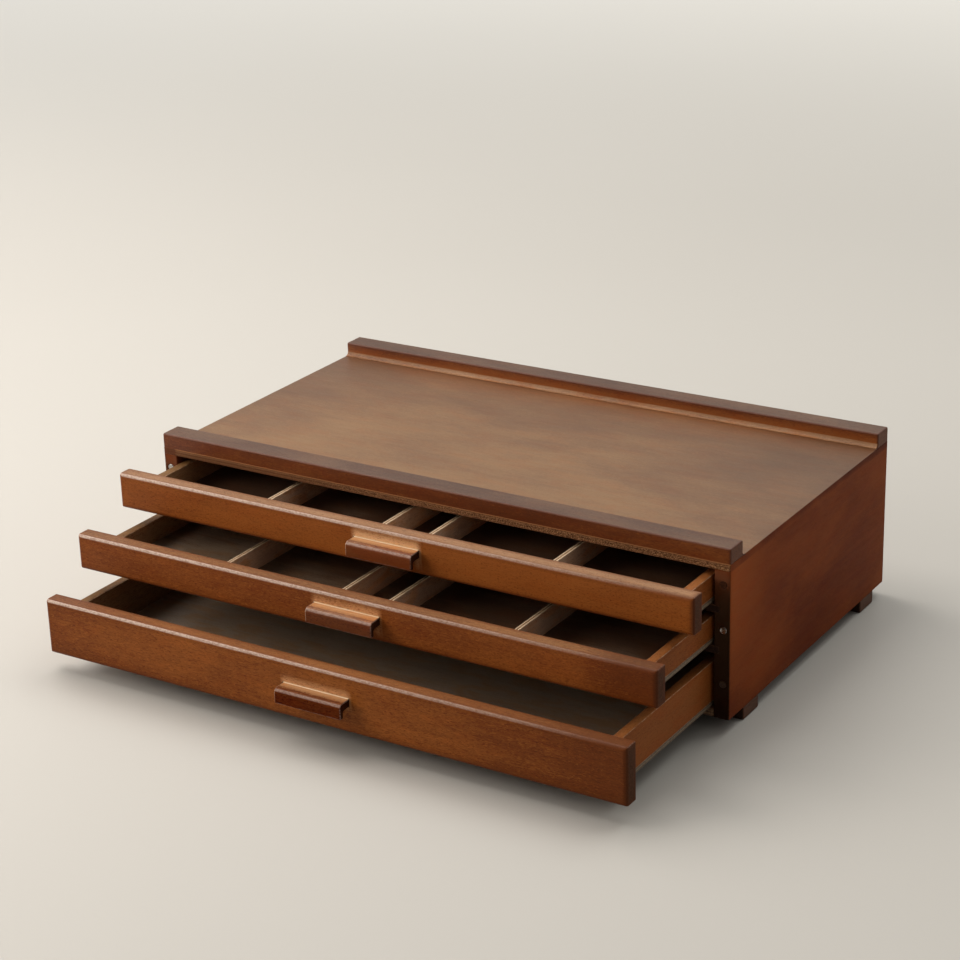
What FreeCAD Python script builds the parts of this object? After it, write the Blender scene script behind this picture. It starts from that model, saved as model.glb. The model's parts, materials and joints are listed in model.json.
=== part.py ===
import FreeCAD, Part
import math
import os
import Sketcher

# Pen collector chest: a low stained-wood case with three drawers.
# Frame: +X to the right, -Y to the front (the way the drawers come out), +Z up.
# The origin is on the floor, under the middle of the chest with its drawers
# drawn out as they are stored here. Millimetres.

os.makedirs("parts", exist_ok=True)

doc = FreeCAD.newDocument("pen_collector_chest")
sheet = doc.addObject("Spreadsheet::Sheet", "dims")

V = FreeCAD.Vector

# ---------------------------------------------------------------- dimensions

CELLS = [
    # the case
    ("case_width", 400.0, "outside width, X"),
    ("case_depth", 221.0, "outside depth, Y"),
    ("case_middle", 65.25, "Y of the middle of the case"),
    ("foot_height", 8.0, "feet, and the underside of the side panels"),
    ("side_thickness", 10.0, "side panels"),
    ("side_top", 100.0, "top edge of the side panels"),
    ("top_thickness", 4.6, "plywood top panel"),
    ("rail_width", 15.5, "rails on the top panel, at their top"),
    ("rail_height", 9.2, "rails on the top panel"),
    ("rail_cove", 2.5, "cove along the inner foot of a rail"),
    ("rail_toe", 0.3, "land under the cove"),
    ("rail_round", 1.0, "rounding of a rail's top edges"),
    ("base_under", 8.3, "underside of the bottom panel"),
    ("base_thickness", 5.0, "plywood bottom panel"),
    ("back_thickness", 5.0, "plywood back panel"),
    # the runners
    ("runner_height", 4.6, "runners"),
    ("runner_width", 8.7, "runners, groove to edge"),
    ("groove_deep", 3.3, "grooves that hold the runners"),
    ("upper_runner_top", 78.2, "carries the upper drawer"),
    ("middle_runner_top", 53.0, "carries the middle drawer"),
    # the feet
    ("foot_long", 20.0, "feet, front to back"),
    ("foot_wide", 20.0, "feet, left to right"),
    ("foot_round", 1.0, "rounding of a foot's lower edges"),
    ("front_foot_inset", 18.5, "case front to front foot"),
    ("rear_foot_inset", 15.5, "case back to rear foot"),
    # magnets and the steel discs that they hold
    ("magnet_across", 4.5, "magnet diameter"),
    ("magnet_long", 4.8, "magnet length"),
    ("magnet_hole", 4.6, "magnet hole diameter"),
    ("magnet_hole_deep", 5.0, "magnet hole depth"),
    ("magnet_inset", 4.5, "outer side face to the magnets' axis"),
    ("upper_magnet_level", 91.2, "Z of the upper pair"),
    ("middle_magnet_level", 63.4, "Z of the middle pair"),
    ("lower_magnet_level", 29.7, "Z of the lower pair"),
    ("disc_across", 6.0, "steel disc diameter"),
    ("disc_thick", 1.2, "steel disc thickness"),
    ("disc_hole", 6.1, "recess diameter for a disc"),
    # the drawers
    ("front_thickness", 10.5, "drawer fronts"),
    ("front_round", 2.5, "rounding around a front's face"),
    ("box_width", 376.0, "outside width of a drawer's box"),
    ("box_depth", 213.0, "depth of a drawer's box behind its front"),
    ("wall_thickness", 6.0, "drawer sides and backs"),
    ("ply_thickness", 3.0, "drawer bottoms and dividers"),
    ("outer_divider", 100.5, "X of the outer dividers' middle"),
    ("inner_divider", 16.5, "X of the inner dividers' middle"),
    ("upper_front_low", 79.2, "upper front, bottom edge"),
    ("upper_front_high", 22.8, "upper front, height"),
    ("upper_box_low", 78.5, "upper drawer, underside"),
    ("upper_wall_high", 14.0, "upper drawer, height of its walls"),
    ("upper_out", 34.8, "upper drawer, drawn out as stored"),
    ("middle_front_low", 54.0, "middle front, bottom edge"),
    ("middle_front_high", 22.8, "middle front, height"),
    ("middle_box_low", 53.3, "middle drawer, underside"),
    ("middle_wall_high", 14.0, "middle drawer, height of its walls"),
    ("middle_out", 77.4, "middle drawer, drawn out as stored"),
    ("lower_front_low", 11.0, "lower front, bottom edge"),
    ("lower_front_high", 35.4, "lower front, height"),
    ("lower_box_low", 13.6, "lower drawer, underside"),
    ("lower_wall_high", 25.0, "lower drawer, height of its walls"),
    ("lower_out", 110.9, "lower drawer, drawn out as stored"),
    # the pulls and their screws
    ("pull_long", 46.0, "pull, left to right"),
    ("pull_high", 9.4, "pull, height"),
    ("pull_deep", 9.1, "pull, how far it stands out"),
    ("pull_drop", 0.7, "front's middle to the pull's middle"),
    ("pull_heel", 4.9, "height of the face glued to the front"),
    ("pull_lip", 2.9, "thickness of the lip at its lower edge"),
    ("pull_round", 3.0, "rounding of the upper front edge"),
    ("pull_hollow", 1.6, "rounding at the top of the finger hollow"),
    ("pull_ends", 0.8, "rounding of the pull's end edges"),
    ("screw_spacing", 22.0, "between a pull's two screws"),
    ("screw_rise", 2.25, "screws above the pull's middle"),
    ("screw_across", 3.0, "screw shank diameter"),
    ("screw_head", 6.0, "screw head diameter"),
    ("screw_long", 16.0, "screw length"),
    ("clearance_hole", 3.4, "hole through a front for a screw"),
    ("pilot_hole", 3.1, "hole in a pull for a screw"),
    ("pilot_deep", 6.6, "depth of that hole"),
]

for row, (alias, value, note) in enumerate(CELLS, start=1):
    sheet.set("A%d" % row, note)
    sheet.set("B%d" % row, str(value))
    sheet.setAlias("B%d" % row, alias)
doc.recompute()


class Dim:
    """A length, kept with the formula on the sheet that gives it."""

    def __init__(self, text, value):
        self.text = text
        self.value = float(value)

    def __add__(self, other):
        other = as_dim(other)
        return Dim("(%s + %s)" % (self.text, other.text), self.value + other.value)

    def __sub__(self, other):
        other = as_dim(other)
        return Dim("(%s - %s)" % (self.text, other.text), self.value - other.value)

    def __mul__(self, other):
        other = as_dim(other)
        return Dim("(%s * %s)" % (self.text, other.text), self.value * other.value)

    def __truediv__(self, other):
        other = as_dim(other)
        return Dim("(%s / %s)" % (self.text, other.text), self.value / other.value)

    def __neg__(self):
        return Dim("(0 - %s)" % self.text, -self.value)


def as_dim(number):
    return number if isinstance(number, Dim) else Dim("%g" % number, number)


D = {alias: Dim("dims.%s" % alias, sheet.get(alias)) for alias, _, _ in CELLS}
ZERO = as_dim(0)

# Lines that several pieces share.
half = D["case_width"] / 2
front_y = D["case_middle"] - D["case_depth"] / 2
back_y = D["case_middle"] + D["case_depth"] / 2
inner_x = half - D["side_thickness"]
top_z = D["side_top"] + D["top_thickness"]
inside_depth = D["case_depth"] - D["back_thickness"]

# ------------------------------------------------------------------- helpers

NODES = {}
WANT = {}


def place(obj, at):
    for axis, dim in zip("xyz", at):
        obj.setExpression("Placement.Base.%s" % axis, as_dim(dim).text)


def new_body(label, at):
    """A body whose own origin is put at the given point."""
    body = doc.addObject("PartDesign::Body", label)
    body.Label = label
    if hasattr(body, "AllowCompound"):
        body.AllowCompound = True
    place(body, at)
    NODES[label] = body
    return body


def plane_of(body, role):
    for feature in body.Origin.OriginFeatures:
        if feature.Role == role:
            return feature
    raise RuntimeError("no plane " + role)


def new_sketch(body, name, role, along=None):
    """A sketch on one of the body's own planes, moved along its normal."""
    sketch = body.newObject("Sketcher::SketchObject", name)
    sketch.AttachmentSupport = [(plane_of(body, role), "")]
    sketch.MapMode = "FlatFace"
    if along is not None:
        sketch.setExpression("AttachmentOffset.Base.z", along.text)
    return sketch


def bind(sketch, constraint, dim):
    index = sketch.addConstraint(constraint)
    sketch.setExpression("Constraints[%d]" % index, dim.text)
    return index


def draw_rectangle(sketch, x, y, wide, high):
    """A rectangle; x and y are its lower left corner, None on the axis."""
    x0 = 0.0 if x is None else x.value
    y0 = 0.0 if y is None else y.value
    x1, y1 = x0 + wide.value, y0 + high.value
    pts = [V(x0, y0, 0), V(x1, y0, 0), V(x1, y1, 0), V(x0, y1, 0)]
    first = sketch.GeometryCount
    for i in range(4):
        sketch.addGeometry(Part.LineSegment(pts[i], pts[(i + 1) % 4]), False)
    for i in range(4):
        sketch.addConstraint(
            Sketcher.Constraint("Coincident", first + i, 2, first + (i + 1) % 4, 1)
        )
    sketch.addConstraint(Sketcher.Constraint("Horizontal", first))
    sketch.addConstraint(Sketcher.Constraint("Horizontal", first + 2))
    sketch.addConstraint(Sketcher.Constraint("Vertical", first + 1))
    sketch.addConstraint(Sketcher.Constraint("Vertical", first + 3))
    if x is None and y is None:
        sketch.addConstraint(Sketcher.Constraint("Coincident", first, 1, -1, 1))
    else:
        if x is None:
            sketch.addConstraint(Sketcher.Constraint("PointOnObject", first, 1, -2))
        else:
            bind(sketch, Sketcher.Constraint("DistanceX", -1, 1, first, 1, x0), x)
        if y is None:
            sketch.addConstraint(Sketcher.Constraint("PointOnObject", first, 1, -1))
        else:
            bind(sketch, Sketcher.Constraint("DistanceY", -1, 1, first, 1, y0), y)
    bind(sketch, Sketcher.Constraint("DistanceX", first, 1, first, 2, x1 - x0), wide)
    bind(sketch, Sketcher.Constraint("DistanceY", first + 1, 1, first + 1, 2, y1 - y0), high)


def draw_circle(sketch, x, y, across):
    """A circle; x and y are its middle, None on the axis."""
    x0 = 0.0 if x is None else x.value
    y0 = 0.0 if y is None else y.value
    index = sketch.addGeometry(
        Part.Circle(V(x0, y0, 0), V(0, 0, 1), across.value / 2), False
    )
    bind(sketch, Sketcher.Constraint("Diameter", index, across.value), across)
    if x is None:
        sketch.addConstraint(Sketcher.Constraint("PointOnObject", index, 3, -2))
    else:
        bind(sketch, Sketcher.Constraint("DistanceX", -1, 1, index, 3, x0), x)
    if y is None:
        sketch.addConstraint(Sketcher.Constraint("PointOnObject", index, 3, -1))
    else:
        bind(sketch, Sketcher.Constraint("DistanceY", -1, 1, index, 3, y0), y)


def pad(body, name, sketch, length, reverse=False):
    feature = body.newObject("PartDesign::Pad", name)
    feature.Profile = sketch
    feature.setExpression("Length", length.text)
    feature.Reversed = reverse
    doc.recompute()
    return feature


def cut(body, name, sketch, depth, reverse, removes):
    """A pocket; what it takes away is compared with what it should."""
    before = body.Tip.Shape.Volume
    feature = body.newObject("PartDesign::Pocket", name)
    feature.Profile = sketch
    feature.setExpression("Length", depth.text)
    feature.Reversed = reverse
    doc.recompute()
    taken = before - feature.Shape.Volume
    if abs(taken - removes) > 0.002 * removes + 0.01:
        raise RuntimeError(
            "%s %s removes %.2f, not %.2f" % (body.Label, name, taken, removes)
        )
    return feature


def edges_where(shape, test):
    """Names of the straight edges for which test(p, q) holds."""
    names = []
    for i, edge in enumerate(shape.Edges, start=1):
        if len(edge.Vertexes) == 2 and test(edge.Vertexes[0].Point, edge.Vertexes[1].Point):
            names.append("Edge%d" % i)
    return names


def round_edges(body, name, names, radius):
    base = body.Tip
    before = base.Shape.Volume
    feature = body.newObject("PartDesign::Fillet", name)
    feature.Base = (base, names)
    feature.setExpression("Radius", radius.text)
    doc.recompute()
    if not feature.Shape.Volume < before:
        raise RuntimeError("%s %s rounds nothing" % (body.Label, name))
    return feature


def near(a, b):
    return abs(a - b) < 1e-6


def block(label, at, size):
    """A rectangular piece, from its lowest corner."""
    body = new_body(label, at)
    sketch = new_sketch(body, label + "_outline", "XY_Plane")
    draw_rectangle(sketch, None, None, size[0], size[1])
    pad(body, label + "_pad", sketch, size[2])
    WANT[label] = (
        [as_dim(a).value for a in at],
        [as_dim(a).value + s.value for a, s in zip(at, size)],
    )
    return body


# ------------------------------------------------------------------ the case

# The side panels stand on the feet. Each has two grooves for the runners on
# its inner face, and three magnet holes in its front edge.
side_high = D["side_top"] - D["foot_height"]
for side in ("left", "right"):
    label = side + "_side_panel"
    corner = (-half) if side == "left" else inner_x
    body = block(
        label,
        (corner, front_y, D["foot_height"]),
        (D["side_thickness"], D["case_depth"], side_high),
    )
    for which in ("upper", "middle"):
        inward = D["side_thickness"] if side == "left" else ZERO
        sketch = new_sketch(body, "%s_%s_groove" % (label, which), "YZ_Plane", inward)
        low = D[which + "_runner_top"] - D["runner_height"] - D["foot_height"]
        draw_rectangle(sketch, None, low, inside_depth, D["runner_height"])
        cut(
            body,
            "%s_%s_groove_cut" % (label, which),
            sketch,
            D["groove_deep"],
            side == "right",
            D["groove_deep"].value * inside_depth.value * D["runner_height"].value,
        )
    sketch = new_sketch(body, label + "_magnet_holes", "XZ_Plane")
    from_corner = (
        D["magnet_inset"] if side == "left" else D["side_thickness"] - D["magnet_inset"]
    )
    for which in ("upper", "middle", "lower"):
        level = D[which + "_magnet_level"] - D["foot_height"]
        draw_circle(sketch, from_corner, level, D["magnet_hole"])
    cut(
        body,
        label + "_magnet_cut",
        sketch,
        D["magnet_hole_deep"],
        False,
        3 * math.pi * (D["magnet_hole"].value / 2) ** 2 * D["magnet_hole_deep"].value,
    )

# The top panel lies over the sides, flush with them all round.
block(
    "top_panel",
    (-half, front_y, D["side_top"]),
    (D["case_width"], D["case_depth"], D["top_thickness"]),
)


def rail(label, toward_back):
    """A rail along the top panel: plain outside, a cove at its inner foot."""
    w, hi = D["rail_width"], D["rail_height"]
    cove, toe, rnd = D["rail_cove"], D["rail_toe"], D["rail_round"]
    body = new_body(label, (-half, front_y if toward_back else back_y, top_z))
    sketch = new_sketch(body, label + "_section", "YZ_Plane")
    s = 1.0 if toward_back else -1.0
    base, wn, hn = (w + cove).value, w.value, hi.value
    c, t, r = cove.value, toe.value, rnd.value

    def p(y, z):
        return V(s * y, z, 0)

    def quarter(cy, cz, radius, first, last):
        if s < 0:
            first, last = 180.0 - last, 180.0 - first
        return Part.ArcOfCircle(
            Part.Circle(V(s * cy, cz, 0), V(0, 0, 1), radius),
            math.radians(first),
            math.radians(last),
        )

    # 0 foot, 1 toe, 2 cove, 3 inner face, 4 round, 5 top, 6 round, 7 outer face
    sketch.addGeometry(Part.LineSegment(p(0, 0), p(base, 0)), False)
    sketch.addGeometry(Part.LineSegment(p(base, 0), p(base, t)), False)
    sketch.addGeometry(quarter(base, t + c, c, 180.0, 270.0), False)
    sketch.addGeometry(Part.LineSegment(p(wn, t + c), p(wn, hn - r)), False)
    sketch.addGeometry(quarter(wn - r, hn - r, r, 0.0, 90.0), False)
    sketch.addGeometry(Part.LineSegment(p(wn - r, hn), p(r, hn)), False)
    sketch.addGeometry(quarter(r, hn - r, r, 90.0, 180.0), False)
    sketch.addGeometry(Part.LineSegment(p(0, hn - r), p(0, 0)), False)
    # An arc runs anticlockwise from end 1 to end 2, so which end meets which
    # line depends on the side that the rail faces.
    a, b = (1, 2) if s > 0 else (2, 1)
    C = Sketcher.Constraint
    sketch.addConstraint(C("Coincident", 0, 2, 1, 1))
    sketch.addConstraint(C("Coincident", 1, 2, 2, b))
    sketch.addConstraint(C("Coincident", 2, a, 3, 1))
    sketch.addConstraint(C("Coincident", 3, 2, 4, a))
    sketch.addConstraint(C("Coincident", 4, b, 5, 1))
    sketch.addConstraint(C("Coincident", 5, 2, 6, a))
    sketch.addConstraint(C("Coincident", 6, b, 7, 1))
    sketch.addConstraint(C("Coincident", 7, 2, 0, 1))
    sketch.addConstraint(C("Coincident", 0, 1, -1, 1))
    for i in (0, 5):
        sketch.addConstraint(C("Horizontal", i))
    for i in (1, 3, 7):
        sketch.addConstraint(C("Vertical", i))
    # the cove's middle is level with its top and plumb over the toe
    sketch.addConstraint(C("Horizontal", 2, 3, 3, 1))
    sketch.addConstraint(C("Vertical", 2, 3, 1, 2))
    sketch.addConstraint(C("Horizontal", 4, 3, 3, 2))
    sketch.addConstraint(C("Vertical", 4, 3, 5, 1))
    sketch.addConstraint(C("Vertical", 6, 3, 5, 2))
    sketch.addConstraint(C("Equal", 4, 6))
    bind(sketch, C("Radius", 2, c), cove)
    bind(sketch, C("Radius", 4, r), rnd)
    bind(sketch, C("DistanceY", 1, 1, 1, 2, t), toe)
    bind(sketch, C("DistanceY", 0, 1, 5, 2, hn), hi)
    if s > 0:
        bind(sketch, C("DistanceX", 0, 1, 0, 2, base), w + cove)
    else:
        bind(sketch, C("DistanceX", 0, 2, 0, 1, base), w + cove)
    pad(body, label + "_pad", sketch, D["case_width"])
    y_a = (front_y if toward_back else back_y).value
    y_b = y_a + s * base
    WANT[label] = (
        [-half.value, min(y_a, y_b), top_z.value],
        [half.value, max(y_a, y_b), top_z.value + hn],
    )
    area = (
        base * t
        + (c * c - math.pi * c * c / 4)
        + wn * (hn - t)
        - 2 * (r * r - math.pi * r * r / 4)
    )
    volume = body.Shape.Volume
    if abs(volume - area * D["case_width"].value) > 1.0:
        raise RuntimeError("%s volume %.2f" % (label, volume))


rail("front_top_rail", True)
rail("back_top_rail", False)

block(
    "bottom_panel",
    (-inner_x, front_y, D["base_under"]),
    (inner_x * 2, inside_depth, D["base_thickness"]),
)
block(
    "back_panel",
    (-inner_x, back_y - D["back_thickness"], D["base_under"]),
    (inner_x * 2, D["back_thickness"], D["side_top"] - D["base_under"]),
)

# Runners, glued into the grooves. The bottom panel carries the lower drawer.
for which in ("upper", "middle"):
    for side in ("left", "right"):
        outer = inner_x + D["groove_deep"]
        corner = (-outer) if side == "left" else outer - D["runner_width"]
        block(
            "%s_%s_runner" % (which, side),
            (corner, front_y, D[which + "_runner_top"] - D["runner_height"]),
            (D["runner_width"], inside_depth, D["runner_height"]),
        )

# Feet, glued under the side panels.
for end in ("front", "rear"):
    for side in ("left", "right"):
        label = "%s_%s_foot" % (end, side)
        corner_x = (-half) if side == "left" else half - D["foot_wide"]
        corner_y = (
            front_y + D["front_foot_inset"]
            if end == "front"
            else back_y - D["rear_foot_inset"] - D["foot_long"]
        )
        body = block(
            label,
            (corner_x, corner_y, ZERO),
            (D["foot_wide"], D["foot_long"], D["foot_height"]),
        )
        low = edges_where(
            body.Tip.Shape, lambda a, b: near(a.z, 0) and near(b.z, 0)
        )
        round_edges(body, label + "_rounding", low, D["foot_round"])

# Six magnets, three in each side panel's front edge, a little below it.
magnet_back = D["magnet_hole_deep"]
body = new_body("case_magnets", (ZERO, front_y + magnet_back, ZERO))
sketch = new_sketch(body, "case_magnets_ends", "XZ_Plane")
for which in ("upper", "middle", "lower"):
    level = D[which + "_magnet_level"]
    draw_circle(sketch, half - D["magnet_inset"], level, D["magnet_across"])
    draw_circle(sketch, D["magnet_inset"] - half, level, D["magnet_across"])
pad(body, "case_magnets_pad", sketch, D["magnet_long"])

# --------------------------------------------------------------- the drawers


def drawer(name, dividers):
    front_low, front_high = D[name + "_front_low"], D[name + "_front_high"]
    box_low, wall_high = D[name + "_box_low"], D[name + "_wall_high"]
    floor_z = box_low + D["ply_thickness"]
    join_y = front_y - D[name + "_out"]  # back of the front board
    face_y = join_y - D["front_thickness"]
    box_half = D["box_width"] / 2
    middle_z = front_low + front_high / 2 - D["pull_drop"]
    screw_z = middle_z + D["screw_rise"]
    ft = D["front_thickness"]

    # The front, as wide as the case, rounded around its face.
    label = name + "_drawer_front"
    body = block(label, (-half, face_y, front_low), (D["case_width"], ft, front_high))
    face = edges_where(body.Tip.Shape, lambda a, b: near(a.y, 0) and near(b.y, 0))
    round_edges(body, label + "_rounding", face, D["front_round"])
    sketch = new_sketch(body, label + "_disc_recesses", "XZ_Plane", -ft)
    level = D[name + "_magnet_level"] - front_low
    draw_circle(sketch, D["magnet_inset"], level, D["disc_hole"])
    draw_circle(sketch, D["case_width"] - D["magnet_inset"], level, D["disc_hole"])
    cut(
        body,
        label + "_disc_cut",
        sketch,
        D["disc_thick"],
        True,
        2 * math.pi * (D["disc_hole"].value / 2) ** 2 * D["disc_thick"].value,
    )
    # Countersunk clearance holes for the pull's screws, from the back.
    sketch = new_sketch(body, label + "_screw_places", "XZ_Plane", -ft)
    for sign in (-1, 1):
        draw_circle(
            sketch,
            half + D["screw_spacing"] * (sign * 0.5),
            screw_z - front_low,
            D["clearance_hole"],
        )
    doc.recompute()
    before = body.Tip.Shape.Volume
    hole = body.newObject("PartDesign::Hole", label + "_screw_holes")
    hole.Profile = sketch
    hole.Threaded = False
    hole.DepthType = "ThroughAll"
    hole.Reversed = True
    hole.setExpression("Diameter", D["clearance_hole"].text)
    hole.HoleCutType = "Countersink"
    hole.HoleCutCustomValues = True
    hole.setExpression("HoleCutDiameter", (D["screw_head"] + 0.2).text)
    hole.HoleCutCountersinkAngle = 90.0
    doc.recompute()
    r_hole = D["clearance_hole"].value / 2
    r_head = (D["screw_head"].value + 0.2) / 2
    cone = r_head - r_hole
    taken = 2 * (
        math.pi * r_hole**2 * (ft.value - cone)
        + math.pi * cone / 3 * (r_hole**2 + r_hole * r_head + r_head**2)
    )
    if abs(before - hole.Shape.Volume - taken) > 0.5:
        raise RuntimeError(
            "%s holes remove %.2f, not %.2f"
            % (label, before - hole.Shape.Volume, taken)
        )

    # Sides, back and bottom of the box behind it.
    for side in ("left", "right"):
        corner = (-box_half) if side == "left" else box_half - D["wall_thickness"]
        block(
            "%s_drawer_%s_side" % (name, side),
            (corner, join_y, floor_z),
            (D["wall_thickness"], D["box_depth"], wall_high),
        )
    inner_wide = D["box_width"] - D["wall_thickness"] * 2
    inner_long = D["box_depth"] - D["wall_thickness"]
    block(
        name + "_drawer_back",
        (-(inner_wide / 2), join_y + inner_long, floor_z),
        (inner_wide, D["wall_thickness"], wall_high),
    )
    block(
        name + "_drawer_bottom",
        (-box_half, join_y, box_low),
        (D["box_width"], D["box_depth"], D["ply_thickness"]),
    )
    if dividers:
        spots = [
            -D["outer_divider"],
            -D["inner_divider"],
            D["inner_divider"],
            D["outer_divider"],
        ]
        for number, spot in enumerate(spots, start=1):
            block(
                "%s_divider_%d" % (name, number),
                (spot - D["ply_thickness"] / 2, join_y, floor_z),
                (D["ply_thickness"], inner_long, wall_high),
            )

    # The pull: a short moulding with a hollow under it for the fingertips.
    label = name + "_drawer_pull"
    body = new_body(label, (-(D["pull_long"] / 2), face_y, middle_z - D["pull_high"] / 2))
    sketch = new_sketch(body, label + "_section", "YZ_Plane")
    hi, deep = D["pull_high"].value, D["pull_deep"].value
    heel, lip = D["pull_heel"].value, D["pull_lip"].value
    rnd, hol = D["pull_round"].value, D["pull_hollow"].value
    under = hi - heel

    def arc(cy, cz, radius, first, last):
        return Part.ArcOfCircle(
            Part.Circle(V(cy, cz, 0), V(0, 0, 1), radius),
            math.radians(first),
            math.radians(last),
        )

    # The board's face is Y = 0 and the pull stands out towards -Y.
    # 0 heel, 1 top, 2 round, 3 front, 4 lip, 5 inside of the lip,
    # 6 hollow's round, 7 hollow's roof
    sketch.addGeometry(Part.LineSegment(V(0, under, 0), V(0, hi, 0)), False)
    sketch.addGeometry(Part.LineSegment(V(0, hi, 0), V(-deep + rnd, hi, 0)), False)
    sketch.addGeometry(arc(-deep + rnd, hi - rnd, rnd, 90.0, 180.0), False)
    sketch.addGeometry(Part.LineSegment(V(-deep, hi - rnd, 0), V(-deep, 0, 0)), False)
    sketch.addGeometry(Part.LineSegment(V(-deep, 0, 0), V(-deep + lip, 0, 0)), False)
    sketch.addGeometry(
        Part.LineSegment(V(-deep + lip, 0, 0), V(-deep + lip, under - hol, 0)), False
    )
    sketch.addGeometry(arc(-deep + lip + hol, under - hol, hol, 90.0, 180.0), False)
    sketch.addGeometry(
        Part.LineSegment(V(-deep + lip + hol, under, 0), V(0, under, 0)), False
    )
    C = Sketcher.Constraint
    sketch.addConstraint(C("Coincident", 0, 2, 1, 1))
    sketch.addConstraint(C("Coincident", 1, 2, 2, 1))
    sketch.addConstraint(C("Coincident", 2, 2, 3, 1))
    sketch.addConstraint(C("Coincident", 3, 2, 4, 1))
    sketch.addConstraint(C("Coincident", 4, 2, 5, 1))
    sketch.addConstraint(C("Coincident", 5, 2, 6, 2))
    sketch.addConstraint(C("Coincident", 6, 1, 7, 1))
    sketch.addConstraint(C("Coincident", 7, 2, 0, 1))
    for i in (0, 3, 5):
        sketch.addConstraint(C("Vertical", i))
    for i in (1, 4, 7):
        sketch.addConstraint(C("Horizontal", i))
    sketch.addConstraint(C("Horizontal", 2, 3, 3, 1))
    sketch.addConstraint(C("Vertical", 2, 3, 1, 2))
    sketch.addConstraint(C("Horizontal", 6, 3, 5, 2))
    sketch.addConstraint(C("Vertical", 6, 3, 7, 1))
    sketch.addConstraint(C("PointOnObject", 0, 1, -2))
    sketch.addConstraint(C("PointOnObject", 4, 1, -1))
    bind(sketch, C("Radius", 2, rnd), D["pull_round"])
    bind(sketch, C("Radius", 6, hol), D["pull_hollow"])
    bind(sketch, C("DistanceY", -1, 1, 0, 2, hi), D["pull_high"])
    bind(sketch, C("DistanceY", 0, 1, 0, 2, heel), D["pull_heel"])
    bind(sketch, C("DistanceX", 4, 1, -1, 1, deep), D["pull_deep"])
    bind(sketch, C("DistanceX", 4, 1, 4, 2, lip), D["pull_lip"])
    pad(body, label + "_pad", sketch, D["pull_long"])
    ends = edges_where(
        body.Tip.Shape,
        lambda a, b: near(a.x, b.x)
        and not (near(a.y, 0) and near(b.y, 0))
        and a.z > under - 1e-6
        and b.z > under - 1e-6
        and not (near(a.z, under) and near(b.z, under)),
    ) + edges_where(
        body.Tip.Shape,
        lambda a, b: near(a.x, b.x) and near(a.y, -deep) and near(b.y, -deep),
    )
    round_edges(body, label + "_end_rounding", sorted(set(ends)), D["pull_ends"])
    sketch = new_sketch(body, label + "_pilot_places", "XZ_Plane")
    for sign in (-1, 1):
        draw_circle(
            sketch,
            D["pull_long"] / 2 + D["screw_spacing"] * (sign * 0.5),
            D["pull_high"] / 2 + D["screw_rise"],
            D["pilot_hole"],
        )
    cut(
        body,
        label + "_pilots",
        sketch,
        D["pilot_deep"],
        True,
        2 * math.pi * (D["pilot_hole"].value / 2) ** 2 * D["pilot_deep"].value,
    )
    WANT[label] = (
        [-D["pull_long"].value / 2, face_y.value - deep, (middle_z - D["pull_high"] / 2).value],
        [D["pull_long"].value / 2, face_y.value, (middle_z + D["pull_high"] / 2).value],
    )

    # Two countersunk screws, driven from inside the drawer.
    label = name + "_drawer_pull_screws"
    left = -(D["screw_spacing"] / 2)
    body = new_body(label, (left, join_y, screw_z))
    sketch = new_sketch(body, label + "_section", "XY_Plane")
    head, shank = D["screw_head"].value / 2, D["screw_across"].value / 2
    length = D["screw_long"].value
    tip = 2.0
    pts = [
        V(0, 0, 0),
        V(head, 0, 0),
        V(shank, -(head - shank), 0),
        V(shank, -(length - tip), 0),
        V(0, -length, 0),
    ]
    for i in range(5):
        sketch.addGeometry(Part.LineSegment(pts[i], pts[(i + 1) % 5]), False)
    for i in range(5):
        sketch.addConstraint(C("Coincident", i, 2, (i + 1) % 5, 1))
    sketch.addConstraint(C("Coincident", 0, 1, -1, 1))
    sketch.addConstraint(C("Horizontal", 0))
    sketch.addConstraint(C("Vertical", 2))
    sketch.addConstraint(C("Vertical", 4))
    bind(sketch, C("DistanceX", 0, 1, 0, 2, head), D["screw_head"] / 2)
    bind(sketch, C("DistanceX", 0, 1, 1, 2, shank), D["screw_across"] / 2)
    bind(
        sketch,
        C("DistanceY", 1, 2, 0, 2, head - shank),
        (D["screw_head"] - D["screw_across"]) / 2,
    )
    bind(sketch, C("DistanceY", 3, 2, 3, 1, tip), as_dim(tip))
    bind(sketch, C("DistanceY", 4, 1, 4, 2, length), D["screw_long"])
    turned = body.newObject("PartDesign::Revolution", label + "_turned")
    turned.Profile = sketch
    turned.ReferenceAxis = (sketch, ["V_Axis"])
    turned.Angle = 360.0
    doc.recompute()
    one = turned.Shape.Volume
    row = body.newObject("PartDesign::LinearPattern", label + "_pair")
    row.Originals = [turned]
    row.Direction = (plane_of(body, "X_Axis"), [""])
    row.setExpression("Length", D["screw_spacing"].text)
    row.Occurrences = 2
    body.Tip = row
    doc.recompute()
    if abs(row.Shape.Volume - 2 * one) > 0.01:
        raise RuntimeError("%s: %.2f from %.2f" % (label, row.Shape.Volume, one))

    # Two steel discs, flush in the back of the front, for the magnets.
    label = name + "_drawer_discs"
    body = new_body(label, (ZERO, join_y, ZERO))
    sketch = new_sketch(body, label + "_ends", "XZ_Plane")
    for spot in (half - D["magnet_inset"], D["magnet_inset"] - half):
        draw_circle(sketch, spot, D[name + "_magnet_level"], D["disc_across"])
    pad(body, label + "_pad", sketch, D["disc_thick"])


drawer("upper", True)
drawer("middle", True)
drawer("lower", False)

# ------------------------------------------------------------ checks and files

doc.recompute()
for obj in doc.Objects:
    if "Invalid" in obj.State or "Error" in obj.State:
        raise RuntimeError("%s is %s" % (obj.Label, obj.State))

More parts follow.
